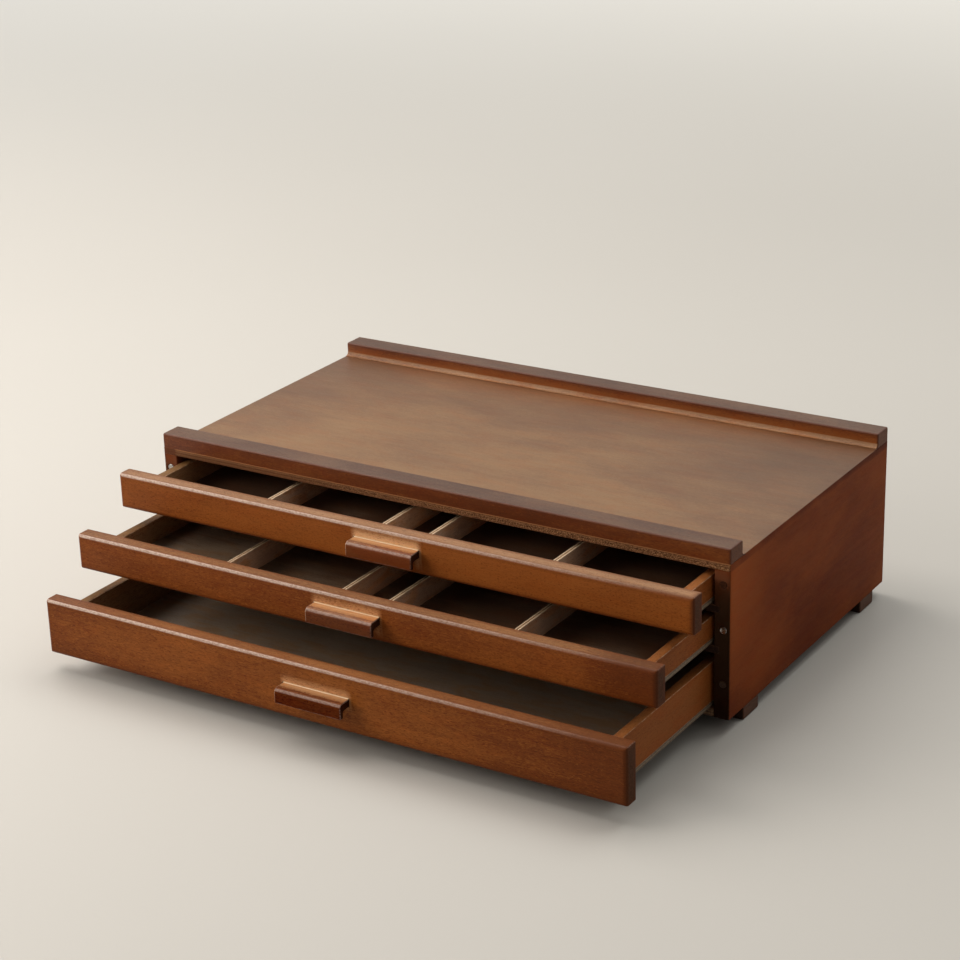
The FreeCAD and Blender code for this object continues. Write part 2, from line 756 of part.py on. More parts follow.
for label, body in NODES.items():
    shape = body.Shape
    if shape.isNull() or not shape.isValid() or not shape.Solids:
        raise RuntimeError(label + " has no valid solid")
    for solid in shape.Solids:
        if not solid.isClosed() or solid.Volume <= 0:
            raise RuntimeError(label + " has an open solid")
    if label in WANT:
        low, high = WANT[label]
        box = shape.optimalBoundingBox(False, False)
        got = (box.XMin, box.YMin, box.ZMin, box.XMax, box.YMax, box.ZMax)
        for g, w in zip(got, list(low) + list(high)):
            if abs(g - w) > 0.01:
                raise RuntimeError("%s is at %s, not %s %s" % (label, got, low, high))

for label, body in sorted(NODES.items()):
    body.Shape.exportStep(os.path.join("parts", label + ".step"))
    box = body.Shape.BoundBox
    print(
        "%-30s solids %d  x %.1f %.1f  y %.1f %.1f  z %.1f %.1f  %.0f mm3"
        % (
            label,
            len(body.Shape.Solids),
            box.XMin,
            box.XMax,
            box.YMin,
            box.YMax,
            box.ZMin,
            box.ZMax,
            body.Shape.Volume,
        )
    )
print(len(NODES), "nodes")
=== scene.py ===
import json
import math
import random

import bmesh
import bpy
import numpy as np
from mathutils import Matrix, Vector


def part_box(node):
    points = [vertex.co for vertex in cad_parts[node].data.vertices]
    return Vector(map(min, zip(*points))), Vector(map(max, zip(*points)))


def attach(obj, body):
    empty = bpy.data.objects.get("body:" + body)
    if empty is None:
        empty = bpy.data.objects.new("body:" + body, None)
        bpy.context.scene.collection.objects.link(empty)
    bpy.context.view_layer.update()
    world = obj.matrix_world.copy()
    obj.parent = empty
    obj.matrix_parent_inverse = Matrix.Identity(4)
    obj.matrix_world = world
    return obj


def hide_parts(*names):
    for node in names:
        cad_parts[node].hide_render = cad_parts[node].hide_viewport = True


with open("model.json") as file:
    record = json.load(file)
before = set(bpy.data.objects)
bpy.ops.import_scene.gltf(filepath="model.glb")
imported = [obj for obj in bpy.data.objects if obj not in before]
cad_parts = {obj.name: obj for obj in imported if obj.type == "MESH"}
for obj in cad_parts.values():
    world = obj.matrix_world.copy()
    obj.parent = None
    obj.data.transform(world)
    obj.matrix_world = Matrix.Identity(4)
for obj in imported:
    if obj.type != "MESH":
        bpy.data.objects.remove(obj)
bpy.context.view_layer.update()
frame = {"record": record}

SCENE = bpy.context.scene
MM = 0.001

# ------------------------------------------------------------------ materials


class Graph:
    """A material's node tree, written as sums."""

    def __init__(self, name):
        self.mat = bpy.data.materials.new(name)
        self.mat.use_nodes = True
        self.tree = self.mat.node_tree
        self.tree.nodes.clear()
        self.out = self.tree.nodes.new("ShaderNodeOutputMaterial")
        self.bsdf = self.tree.nodes.new("ShaderNodeBsdfPrincipled")
        self.tree.links.new(self.bsdf.outputs["BSDF"], self.out.inputs["Surface"])

    def node(self, kind, **settings):
        made = self.tree.nodes.new(kind)
        for key, value in settings.items():
            setattr(made, key, value)
        return made

    def put(self, socket, value):
        if isinstance(value, bpy.types.NodeSocket):
            self.tree.links.new(value, socket)
        elif isinstance(value, (tuple, list)) and len(value) == 3 and socket.type == "RGBA":
            socket.default_value = (*value, 1.0)
        else:
            socket.default_value = value

    def math(self, operation, a, b=0.0, c=0.0, clamp=False):
        made = self.node("ShaderNodeMath", operation=operation, use_clamp=clamp)
        self.put(made.inputs[0], a)
        self.put(made.inputs[1], b)
        self.put(made.inputs[2], c)
        return made.outputs[0]

    def add(self, a, b):
        return self.math("ADD", a, b)

    def sub(self, a, b):
        return self.math("SUBTRACT", a, b)

    def mul(self, a, b):
        return self.math("MULTIPLY", a, b)

    def vector(self, operation, a, b=(0.0, 0.0, 0.0)):
        made = self.node("ShaderNodeVectorMath", operation=operation)
        self.put(made.inputs[0], a)
        self.put(made.inputs[1], b)
        return made.outputs["Value" if operation in ("DOT_PRODUCT", "LENGTH") else "Vector"]

    def attribute(self, name, kind="Vector"):
        return self.node("ShaderNodeAttribute", attribute_name=name).outputs[kind]

    def split(self, vector):
        made = self.node("ShaderNodeSeparateXYZ")
        self.put(made.inputs[0], vector)
        return made.outputs[0], made.outputs[1], made.outputs[2]

    def noise(self, vector, scale=1.0, detail=2.0, roughness=0.5, distortion=0.0):
        made = self.node("ShaderNodeTexNoise", noise_dimensions="3D")
        self.put(made.inputs["Vector"], vector)
        self.put(made.inputs["Scale"], scale)
        self.put(made.inputs["Detail"], detail)
        self.put(made.inputs["Roughness"], roughness)
        self.put(made.inputs["Distortion"], distortion)
        return made.outputs[0]

    def cells(self, vector, scale=1.0, feature="F1", randomness=1.0):
        made = self.node("ShaderNodeTexVoronoi", feature=feature)
        self.put(made.inputs["Vector"], vector)
        self.put(made.inputs["Scale"], scale)
        self.put(made.inputs["Randomness"], randomness)
        return made.outputs

    def step(self, value, low, high, out_low=0.0, out_high=1.0):
        """A smooth step from out_low at low to out_high at high."""
        made = self.node("ShaderNodeMapRange", interpolation_type="SMOOTHSTEP")
        self.put(made.inputs["Value"], value)
        self.put(made.inputs["From Min"], low)
        self.put(made.inputs["From Max"], high)
        self.put(made.inputs["To Min"], out_low)
        self.put(made.inputs["To Max"], out_high)
        return made.outputs["Result"]

    def ramp(self, value, stops):
        made = self.node("ShaderNodeValToRGB")
        elements = made.color_ramp.elements
        while len(elements) > 1:
            elements.remove(elements[-1])
        for i, (place, colour) in enumerate(stops):
            element = elements[0] if i == 0 else elements.new(place)
            element.position = place
            element.color = (*colour, 1.0)
        self.put(made.inputs[0], value)
        return made.outputs["Color"]

    def blend(self, amount, a, b, kind="MIX"):
        made = self.node("ShaderNodeMix", data_type="RGBA", blend_type=kind, clamp_factor=True)
        self.put(made.inputs["Factor"], amount)
        self.put(made.inputs[6], a)
        self.put(made.inputs[7], b)
        return made.outputs[2]

    def bump(self, height, strength, distance, normal=None):
        made = self.node("ShaderNodeBump")
        self.put(made.inputs["Strength"], strength)
        self.put(made.inputs["Distance"], distance)
        self.put(made.inputs["Height"], height)
        if normal is not None:
            self.put(made.inputs["Normal"], normal)
        return made.outputs["Normal"]

    def edge_distance(self):
        """Millimetres to the nearest arris of the piece's own box."""
        near = self.vector("MINIMUM", self.attribute("from_low"), self.attribute("from_high"))
        a, b, c = self.split(near)
        least = self.math("MINIMUM", a, self.math("MINIMUM", b, c))
        most = self.math("MAXIMUM", a, self.math("MAXIMUM", b, c))
        total = self.add(a, self.add(b, c))
        return self.sub(total, self.add(least, most))

    def end_grain(self):
        """1 where the surface is cut across the grain."""
        normal = self.node("ShaderNodeNewGeometry").outputs["Normal"]
        facing = self.vector("DOT_PRODUCT", normal, self.attribute("grain_axis"))
        return self.step(self.math("ABSOLUTE", facing), 0.55, 0.85)


def shade(colour, k):
    return tuple(c * k for c in colour)


def stained_wood(
    name,
    colour,
    *,
    up=None,
    ahead=None,
    cloud=0.14,
    figure=0.16,
    fibre=0.30,
    fleck=0.5,
    light_fleck=0.4,
    contrast=0.42,
    drift=0.7,
    cut=True,
    end=0.26,
    end_speck=0.5,
    rim=0.35,
    rim_wide=3.0,
    worn=0.25,
    wear_and_highlight_colour=(0.42, 0.24, 0.14),
    worn_wide=0.75,
    round_highlight=0.0,
    round_from=(0.22, 0.42),
    lit=None,
    rough=0.42,
    level=0.4,
    coat=0.0,
    coat_rough=0.25,
    bump=0.35,
):
    """Close-grained wood under a stain and a satin lacquer."""
    g = Graph(name)
    grain = g.attribute("grain")
    tone_of_piece = g.attribute("tone", "Fac")
    # clouds of stain, a hand across
    c1 = g.noise(g.vector("MULTIPLY", grain, (0.012, 0.030, 0.030)), 1.0, 3.0, 0.55, 0.4)
    # growth figure, a few millimetres apart and long
    f1 = g.noise(g.vector("MULTIPLY", grain, (0.014, 0.26, 0.26)), 1.0, 4.0, 0.6, 0.6)
    # fibres
    f2 = g.noise(g.vector("MULTIPLY", grain, (0.14, 1.9, 1.9)), 1.0, 3.0, 0.65, 0.2)
    # short dark rays and a few light ones, in two sizes
    k1 = g.noise(g.vector("MULTIPLY", grain, (0.55, 2.6, 2.6)), 1.0, 2.0, 0.55, 0.0)
    k3 = g.noise(g.vector("MULTIPLY", grain, (0.26, 1.55, 1.55)), 1.0, 3.0, 0.60, 0.3)
    dark = g.math("MAXIMUM", g.step(k1, 0.54, 0.68), g.mul(g.step(k3, 0.54, 0.70), 0.6))
    k2 = g.noise(g.vector("ADD", g.vector("MULTIPLY", grain, (0.48, 1.9, 1.9)), (31.0, 7.0, 19.0)), 1.0, 2.0, 0.5, 0.0)
    light = g.step(k2, 0.57, 0.69)
    tone = g.add(0.5, tone_of_piece)
    tone = g.add(tone, g.mul(g.sub(c1, 0.5), cloud * 1.6))
    tone = g.add(tone, g.mul(g.sub(f1, 0.5), figure * 1.2))
    tone = g.add(tone, g.mul(g.sub(f2, 0.5), fibre * 1.0))
    tone = g.sub(tone, g.mul(dark, fleck * 0.34))
    tone = g.add(tone, g.mul(light, light_fleck * 0.30))

    def stain(c):
        low = (c[0] * (1 - contrast), c[1] * (1 - contrast * 1.25), c[2] * (1 - contrast * 1.35))
        high = (c[0] * (1 + contrast), c[1] * (1 + contrast * 1.25), c[2] * (1 + contrast * 1.5))
        return g.ramp(tone, [(0.10, shade(low, 0.62)), (0.34, low), (0.52, c), (0.90, high)])

    base = stain(colour)
    # the stain dries redder in some places and browner in others
    c2 = g.noise(g.vector("MULTIPLY", grain, (0.045, 0.13, 0.13)), 1.0, 3.0, 0.6, 0.5)
    redder = g.step(c2, 0.44, 0.64)
    normal = g.node("ShaderNodeNewGeometry").outputs["Normal"]
    # Faces turned up, and faces turned forward, take colours of their own: partly the stain taking differently on them,
    # partly painted light and shade for how the light falls on them.
    if up is not None:
        base = g.blend(g.step(g.vector("DOT_PRODUCT", normal, (0.0, 0.0, 1.0)), 0.45, 0.92), base, stain(up))
    if ahead is not None:
        base = g.blend(g.step(g.vector("DOT_PRODUCT", normal, (0.0, -1.0, 0.0)), 0.55, 0.95), base, stain(ahead))

    # Painted light: the lit colour is laid on as far as the piece's painted-light attribute asks, for light that falls
    # on, is thrown onto or is reflected in that place.
    if lit is not None:
        base = g.blend(g.attribute("glow", "Fac"), base, stain(lit))

    browner = g.blend(1.0, base, (0.90, 1.20, 1.55), "MULTIPLY")
    base = g.blend(g.mul(redder, drift), g.blend(drift * 0.45, base, browner), g.blend(1.0, base, (1.02, 0.84, 0.62), "MULTIPLY"))

    # cut ends drink more stain and show pores as specks
    ends = g.end_grain() if cut else g.mul(f2, 0.0)
    s1 = g.noise(g.vector("MULTIPLY", grain, (0.4, 0.9, 0.9)), 1.0, 4.0, 0.7, 0.0)
    s2 = g.noise(g.vector("MULTIPLY", grain, (0.6, 1.9, 1.9)), 1.0, 2.0, 0.6, 0.0)
    pore = g.step(s2, 0.54, 0.66)
    end_tone = g.add(g.mul(s1, 0.80), g.mul(pore, end_speck * 0.40))
    end_colour = g.ramp(
        end_tone,
        [
            (0.20, shade(colour, 0.40 * end)),
            (0.42, shade(colour, end)),
            (0.74, tuple(c * end * 1.9 + 0.012 for c in colour)),
        ],
    )
    base = g.blend(ends, base, end_colour)

    # stain gathers along the arrises, and the lacquer is rubbed paler on them
    edge = g.edge_distance()
    gather = g.mul(g.step(edge, rim_wide, 0.3), rim)
    gather = g.mul(gather, g.step(c1, 0.25, 0.6, 0.6, 1.0))
    base = g.blend(gather, base, (colour[0] * 0.36, colour[1] * 0.28, colour[2] * 0.25))
    patchy = g.noise(g.vector("MULTIPLY", grain, (0.30, 0.95, 0.95)), 1.0, 4.0, 0.7, 0.3)
    fine = g.noise(g.vector("MULTIPLY", grain, (0.62, 1.30, 1.30)), 1.0, 2.0, 0.6, 0.0)
    wear_and_highlight = g.mul(g.step(edge, worn_wide, worn_wide * 0.15), g.step(patchy, 0.38, 0.64))
    wear_and_highlight = g.mul(wear_and_highlight, worn)
    if round_highlight > 0:
        # the wide rounding along the top: a painted highlight, pale and speckled by the grain
        along_top = g.mul(
            g.step(g.vector("DOT_PRODUCT", normal, (0.0, -1.0, 0.0)), round_from[0], round_from[1]),
            g.step(g.vector("DOT_PRODUCT", normal, (0.0, 0.0, 1.0)), 0.30, 0.56),
        )
        speck = g.step(g.add(g.mul(fine, 0.6), g.mul(patchy, 0.4)), 0.36, 0.60, 0.42, 1.0)
        highlight_here = g.mul(g.mul(along_top, speck), g.attribute("scuff", "Fac"))
        wear_and_highlight = g.math("MAXIMUM", wear_and_highlight, g.mul(highlight_here, round_highlight))
    base = g.blend(wear_and_highlight, base, wear_and_highlight_colour)
    g.put(g.bsdf.inputs["Base Color"], base)

    r1 = g.noise(g.vector("MULTIPLY", grain, (0.05, 0.35, 0.35)), 1.0, 3.0, 0.6, 0.0)
    satin = g.add(rough - 0.06, g.mul(r1, 0.13))
    satin = g.add(satin, g.mul(ends, 0.14))
    satin = g.add(satin, g.mul(dark, 0.05))
    g.put(g.bsdf.inputs["Roughness"], satin)
    g.put(g.bsdf.inputs["Specular IOR Level"], level)
    g.put(g.bsdf.inputs["Coat Weight"], coat)
    g.put(g.bsdf.inputs["Coat Roughness"], coat_rough)
    g.put(g.bsdf.inputs["Coat IOR"], 1.5)

    # pores and fibres stand a few hundredths of a millimetre; lacquer waves are wider
    height = g.add(g.mul(f2, 0.45), g.mul(g.add(k1, k3), -0.4))
    height = g.add(height, g.mul(g.mul(ends, s2), 0.8))
    wave = g.noise(g.vector("MULTIPLY", grain, (0.05, 0.11, 0.11)), 1.0, 2.0, 0.5, 0.0)
    first = g.bump(wave, 0.30, 0.00030)
    g.put(g.bsdf.inputs["Normal"], g.bump(height, bump, 0.00016, first))
    return g.mat


def ply_edge(name, axis, thick, plies, light, dark, *, face=None, face_part=0.0, rough=0.62, ragged=0.6, level=0.25, line=None, neat_to=0.0, torn_scale=0.62, fade=0.0, crisp=False, stained_end=None, pit_shade=0.35, neat_dark=0.0):
    """The cut edge of plywood: thin layers across `axis`, ragged where the saw tore them.

    The part of it next to the face, out of `face_part`, is stained like the face."""
    g = Graph(name)
    grain = g.attribute("grain")
    a, b, c = g.split(g.attribute("from_low"))
    depth = g.math("DIVIDE", (a, b, c)["XYZ".index(axis)], thick)
    wobble = g.noise(g.vector("MULTIPLY", grain, (0.10, 0.10, 0.10)), 1.0, 4.0, 0.6, 0.0)
    depth = g.add(depth, g.mul(g.sub(wobble, 0.5), 0.10))
    layer = g.mul(depth, plies)
    index = g.math("FLOOR", layer)
    odd = g.math("MODULO", index, 2.0)
    inside = g.math("FRACT", layer)
    glue = g.add(g.step(inside, 0.12, 0.0), g.step(inside, 0.88, 1.0))
    torn = g.noise(g.vector("MULTIPLY", grain, (torn_scale, torn_scale, torn_scale * 1.5)), 1.0, 3.0, 0.65, 0.3)
    chip = g.step(torn, 0.50, 0.60)
    pit = g.step(torn, 0.49, 0.40)
    if neat_to:
        # The saw left it cleaner towards this end.
        rough_here = g.step(a, neat_to * 0.35, neat_to, 0.15, 1.0)
        chip, pit = g.mul(chip, rough_here), g.mul(pit, rough_here)
    fine = g.noise(g.vector("MULTIPLY", grain, (2.2, 2.2, 2.2)), 1.0, 2.0, 0.6, 0.0)
    mid = tuple((x + y) / 2 for x, y in zip(light, dark))
    along = g.blend(g.mul(g.sub(fine, 0.3), 1.4), dark, shade(dark, 0.75) if crisp else mid)
    across = g.blend(g.mul(g.sub(fine, 0.3), 1.4), shade(light, 1.5) if crisp else mid, light)
    base = g.blend(odd, along, across)
    if fade:
        # The layers are stained brown; the torn specks on them are not.
        base = g.blend(g.step(depth, 0.95, 0.1, fade * 0.6, fade), base, shade(dark, 1.6))
        chip = g.mul(chip, g.step(depth, 0.90, 0.40, 0.30, 0.95))
        chip = g.mul(chip, g.step(a, neat_to * 0.8, neat_to * 2.0, 0.55, 1.0))
    base = g.blend(g.mul(chip, ragged), base, light)
    base = g.blend(g.mul(pit, ragged), base, shade(dark, pit_shade))
    base = g.blend(g.mul(glue, 0.45), base, shade(dark, 0.5))
    if neat_dark:
        base = g.blend(g.step(a, neat_to, neat_to * 0.5, 0.0, neat_dark), base, shade(dark, 1.5))
    if line is not None:
        at, wide, colour = line
        on = g.mul(g.step(depth, at - wide, at), g.step(depth, at + wide, at))
        base = g.blend(g.mul(on, 0.8), base, colour)
    if stained_end is not None:
        base = g.blend(g.step(a, 11.0, 8.0, 0.0, 0.85), base, stained_end)
    if face is not None:
        stained = g.blend(g.mul(g.sub(fine, 0.25), 1.6), shade(face, 0.72), shade(face, 1.15))
        base = g.blend(g.step(g.add(depth, g.mul(g.sub(torn, 0.5), 0.25)), 1.0 - face_part - 0.06, 1.0 - face_part + 0.06), base, stained)
    g.put(g.bsdf.inputs["Base Color"], base)
    g.put(g.bsdf.inputs["Roughness"], g.add(rough - 0.08, g.mul(fine, 0.2)))
    g.put(g.bsdf.inputs["Specular IOR Level"], level)
    height = g.add(g.mul(torn, ragged * 1.4), g.add(g.mul(fine, 0.4), g.mul(glue, -0.4)))
    g.put(g.bsdf.inputs["Normal"], g.bump(height, 0.6, 0.00025))
    return g.mat


def plated_metal(name, colour, rough, *, turned=0.3, dirt=(0.05, 0.035, 0.02), dirt_amount=0.5):
    """Plated steel, turned on its face, with lacquer and dust caught in it."""
    g = Graph(name)
    grain = g.attribute("grain")
    a = g.noise(g.vector("MULTIPLY", grain, (1.2, 1.2, 1.2)), 1.0, 3.0, 0.6, 0.0)
    b = g.noise(g.vector("MULTIPLY", grain, (6.0, 6.0, 6.0)), 1.0, 2.0, 0.6, 0.0)
    smudge = g.math("ADD", g.mul(g.step(a, 0.46, 0.62), dirt_amount), g.mul(g.attribute("tone", "Fac"), -1.6), clamp=True)
    g.put(g.bsdf.inputs["Base Color"], g.blend(smudge, g.ramp(b, [(0.3, shade(colour, 0.8)), (0.7, colour)]), dirt))
    g.put(g.bsdf.inputs["Metallic"], g.step(smudge, 0.55, 0.2))
    g.put(g.bsdf.inputs["Roughness"], g.add(rough, g.add(g.mul(b, 0.12), g.mul(smudge, 0.35))))
    g.put(g.bsdf.inputs["Normal"], g.bump(g.add(g.mul(a, 0.6), g.mul(b, turned)), 0.25, 0.0001))
    return g.mat


FRONT = (0.268, 0.0725, 0.0115)
CASE = (0.215, 0.048, 0.0090)
PALE_WEAR_AND_HIGHLIGHT = (0.475, 0.345, 0.273)
FRONT_FINISH = dict(
    rough=0.44, level=0.10, cloud=0.22, figure=0.15, fibre=0.30, drift=0.26, contrast=0.42,
    rim=0.62, rim_wide=4.2, end=0.20, worn=0.30, wear_and_highlight_colour=PALE_WEAR_AND_HIGHLIGHT, round_highlight=0.86, fleck=0.72, light_fleck=0.45, bump=0.7,
)
# The pulls' lit colour is a painted highlight on the left end's arris, and their top rounding gets a painted highlight
# too.
PULL_FINISH = dict(
    lit=(0.55, 0.34, 0.20), up=(0.31, 0.130, 0.049), contrast=0.62, rough=0.40, rim=0.25, rim_wide=1.2, worn=0.5, wear_and_highlight_colour=(0.44, 0.31, 0.255),
    worn_wide=1.0, round_highlight=0.55, round_from=(0.44, 0.62), fleck=0.5, bump=0.5,
)
WALL_FINISH = dict(
    rough=0.54, level=0.08, figure=0.14, drift=0.5, rim=0.10, worn=0.9, wear_and_highlight_colour=(0.50, 0.34, 0.22), worn_wide=0.55, bump=0.3,
)
MATS = {
    # Each board's lit colour is light thrown up from its pull's top, painted on the board just above the pull.
    "front_upper": stained_wood("front_wood_upper", FRONT, up=(0.240, 0.116, 0.054), lit=(0.76, 0.43, 0.21), **FRONT_FINISH),
    "front_middle": stained_wood("front_wood_middle", FRONT, up=(0.205, 0.086, 0.030), lit=(0.68, 0.34, 0.145), **FRONT_FINISH),
    "front_lower": stained_wood("front_wood_lower", (0.264, 0.0755, 0.0118), up=(0.205, 0.072, 0.019), lit=(0.66, 0.33, 0.145), **FRONT_FINISH),
    "pull": stained_wood("pull_wood", (0.15, 0.038, 0.008), ahead=(0.125, 0.029, 0.0060), level=0.12, **PULL_FINISH),
    # The lowest pull gets a darker copy of the pull wood with almost no sheen: painted shade where the floor bounces
    # light onto it.
    "pull_lower": stained_wood("pull_wood_lower", (0.14, 0.033, 0.006), ahead=(0.112, 0.021, 0.0030), level=0.02, **PULL_FINISH),
    # The lacquer bead where each pull meets its board is coloured bright gold: a painted highlight of the light it
    # catches.
    "bead": stained_wood("lacquer_bead", (0.52, 0.335, 0.175), contrast=0.42, rough=0.34, level=0.55, rim=0.0, worn=0.0, cloud=0.7, figure=0.5, fibre=0.6, fleck=0.4, light_fleck=0.5, drift=0.3, cut=False, bump=0.8),
    "side": stained_wood("side_wood", (0.190, 0.0375, 0.0050), rough=0.56, level=0.05, cloud=0.30, figure=0.10, fibre=0.20, drift=0.40, rim=0.20, worn=0.15, wear_and_highlight_colour=(0.30, 0.13, 0.06), fleck=0.20, light_fleck=0.2, bump=0.22),
    "side_band": stained_wood("side_band_wood", (0.190, 0.0375, 0.0050), cut=False, rough=0.56, level=0.05, cloud=0.30, figure=0.10, fibre=0.20, drift=0.40, rim=0.0, worn=0.1, wear_and_highlight_colour=(0.30, 0.13, 0.06), fleck=0.20, light_fleck=0.2, bump=0.22),
    # The side panels' front edge and inner face: dark as painted shade, with a lit colour painted on towards the top of
    # the edge.
    "side_edge": stained_wood("side_edge_wood", (0.036, 0.0145, 0.0060), lit=(0.112, 0.029, 0.0095), rough=0.58, level=0.05, cloud=0.4, cut=False, rim=0.2, worn=0.35, wear_and_highlight_colour=(0.16, 0.07, 0.03), fleck=0.4, bump=0.35),
    "rail": stained_wood("rail_wood", (0.220, 0.0575, 0.0105), up=(0.112, 0.048, 0.020), rough=0.42, level=0.25, cloud=0.3, figure=0.14, fibre=0.24, drift=0.5, rim=0.74, rim_wide=1.9, worn=0.10, wear_and_highlight_colour=(0.30, 0.16, 0.10), fleck=0.45, bump=0.4, end=0.45),
    # The hollow at the foot of a rail's inner face takes a brighter wood: a painted highlight of the light the hollow
    # catches.
    "cove": stained_wood("cove_wood", (0.295, 0.131, 0.054), rough=0.46, level=0.26, cloud=0.35, rim=0.0, worn=0.0, fleck=0.5, light_fleck=0.5, bump=0.4, end=0.45),
    # The top's lit colour is a painted reflection of the back rail's inner face.
    "top": stained_wood("top_veneer", (0.176, 0.080, 0.026), lit=(0.200, 0.074, 0.020), contrast=0.30, rough=0.47, level=0.33, cloud=0.30, figure=0.12, fibre=0.28, fleck=0.3, light_fleck=0.35, drift=0.45, rim=0.15, rim_wide=12.0, worn=0.0, bump=0.3, end=1.0),
    "wall": stained_wood("wall_wood", (0.240, 0.066, 0.013), up=(0.240, 0.078, 0.020), **WALL_FINISH),
    "wall_left": stained_wood("wall_wood_left", (0.240, 0.066, 0.013), up=(0.158, 0.074, 0.026), **WALL_FINISH),
    "wall_inner": stained_wood("wall_inner_wood", (0.285, 0.150, 0.066), rough=0.54, level=0.12, figure=0.14, drift=0.4, rim=0.10, worn=0.5, wear_and_highlight_colour=(0.50, 0.34, 0.22), worn_wide=0.55, bump=0.3),
    # The drawer bottoms' lit colour paints pools of light on them.
    "floor_ply": stained_wood("floor_veneer", (0.205, 0.125, 0.073), lit=(0.40, 0.26, 0.165), contrast=0.5, rough=0.36, level=0.6, cloud=0.4, figure=0.3, rim=0.1, worn=0.1, bump=0.25),
    "inner_ply": stained_wood("inner_veneer", (0.150, 0.062, 0.026), rough=0.52, level=0.25, cloud=0.3, rim=0.1, worn=0.1, bump=0.3),
    "divider": stained_wood("divider_wood", (0.640, 0.400, 0.245), contrast=0.3, rough=0.52, level=0.3, cloud=0.3, figure=0.2, rim=0.15, worn=0.2, wear_and_highlight_colour=(0.55, 0.42, 0.3), bump=0.3),
    "foot": stained_wood("foot_wood", (0.090, 0.028, 0.009), rough=0.5, level=0.2, rim=0.3, worn=0.3, wear_and_highlight_colour=(0.2, 0.1, 0.05), bump=0.35),
    "runner": stained_wood("runner_wood", (0.090, 0.030, 0.010), rough=0.5, level=0.2, rim=0.2, worn=0.35, wear_and_highlight_colour=(0.22, 0.11, 0.06), bump=0.35),
    "top_edge": ply_edge("top_ply_edge", "Z", 4.6, 5.0, (0.50, 0.250, 0.110), (0.085, 0.030, 0.010), ragged=0.95, level=0.12, line=(0.95, 0.15, (0.42, 0.170, 0.065)), neat_to=170.0, torn_scale=1.25, fade=0.75, stained_end=(0.105, 0.028, 0.009), pit_shade=0.65, neat_dark=0.30),
    "thin_edge": ply_edge("thin_ply_edge", "Z", 3.0, 3.0, (0.26, 0.19, 0.13), (0.13, 0.085, 0.052), ragged=0.4),
    "divider_edge": ply_edge("divider_ply_edge", "X", 3.0, 3.0, (0.110, 0.055, 0.022), (0.51, 0.365, 0.235), ragged=0.08, crisp=True),
    "panel_edge": ply_edge("panel_ply_edge", "Z", 5.0, 5.0, (0.30, 0.17, 0.09), (0.10, 0.045, 0.02), ragged=0.5),
    "magnet": plated_metal("magnet_plate", (0.55, 0.52, 0.49), 0.20, dirt=(0.035, 0.016, 0.008), dirt_amount=0.6),
    "magnet_dull": stained_wood("magnet_dull", (0.075, 0.042, 0.026), rough=0.55, level=0.20, rim=0.0, worn=0.0, cut=False),
    "magnet_stained": stained_wood("magnet_stained", (0.080, 0.026, 0.010), rough=0.60, level=0.08, rim=0.0, worn=0.0, cut=False),
    "screw": plated_metal("screw_zinc", (0.62, 0.58, 0.48), 0.30, dirt_amount=0.35),
    "disc": plated_metal("disc_steel", (0.50, 0.50, 0.50), 0.32, dirt_amount=0.45),
}

# ------------------------------------------------------------------- geometry

BODY_OF = {n: b for b, members in frame["record"]["behaviour"]["bodies"].items() for n in members}
AXES = {"X": (0, 1, 2), "Y": (1, 0, 2), "Z": (2, 0, 1)}


def link(name, mesh):
    made = bpy.data.objects.new(name, mesh)
    SCENE.collection.objects.link(made)
    return made


def settled(obj):
    """The object's mesh with its modifiers applied."""
    depsgraph = bpy.context.evaluated_depsgraph_get()
    mesh = bpy.data.meshes.new_from_object(obj.evaluated_get(depsgraph), depsgraph=depsgraph)
    obj.modifiers.clear()
    old = obj.data
    obj.data = mesh
    bpy.data.meshes.remove(old)
    return mesh


def soften(obj):
    """Smooth rounds that leave the flats flat."""
    for polygon in obj.data.polygons:
        polygon.use_smooth = True
    even = obj.modifiers.new("even", "WEIGHTED_NORMAL")
    even.mode = "FACE_AREA"
    even.weight = 100
    even.keep_sharp = True
    settled(obj)


def sharpen(mesh, degrees=40.0):
    """Marks as sharp the edges that turn by more than that."""
    bm = bmesh.new()
    bm.from_mesh(mesh)
    limit = math.radians(degrees)
    for edge in bm.edges:
        edge.smooth = not (len(edge.link_faces) == 2 and edge.calc_face_angle(0.0) > limit)
    bm.to_mesh(mesh)
    bm.free()


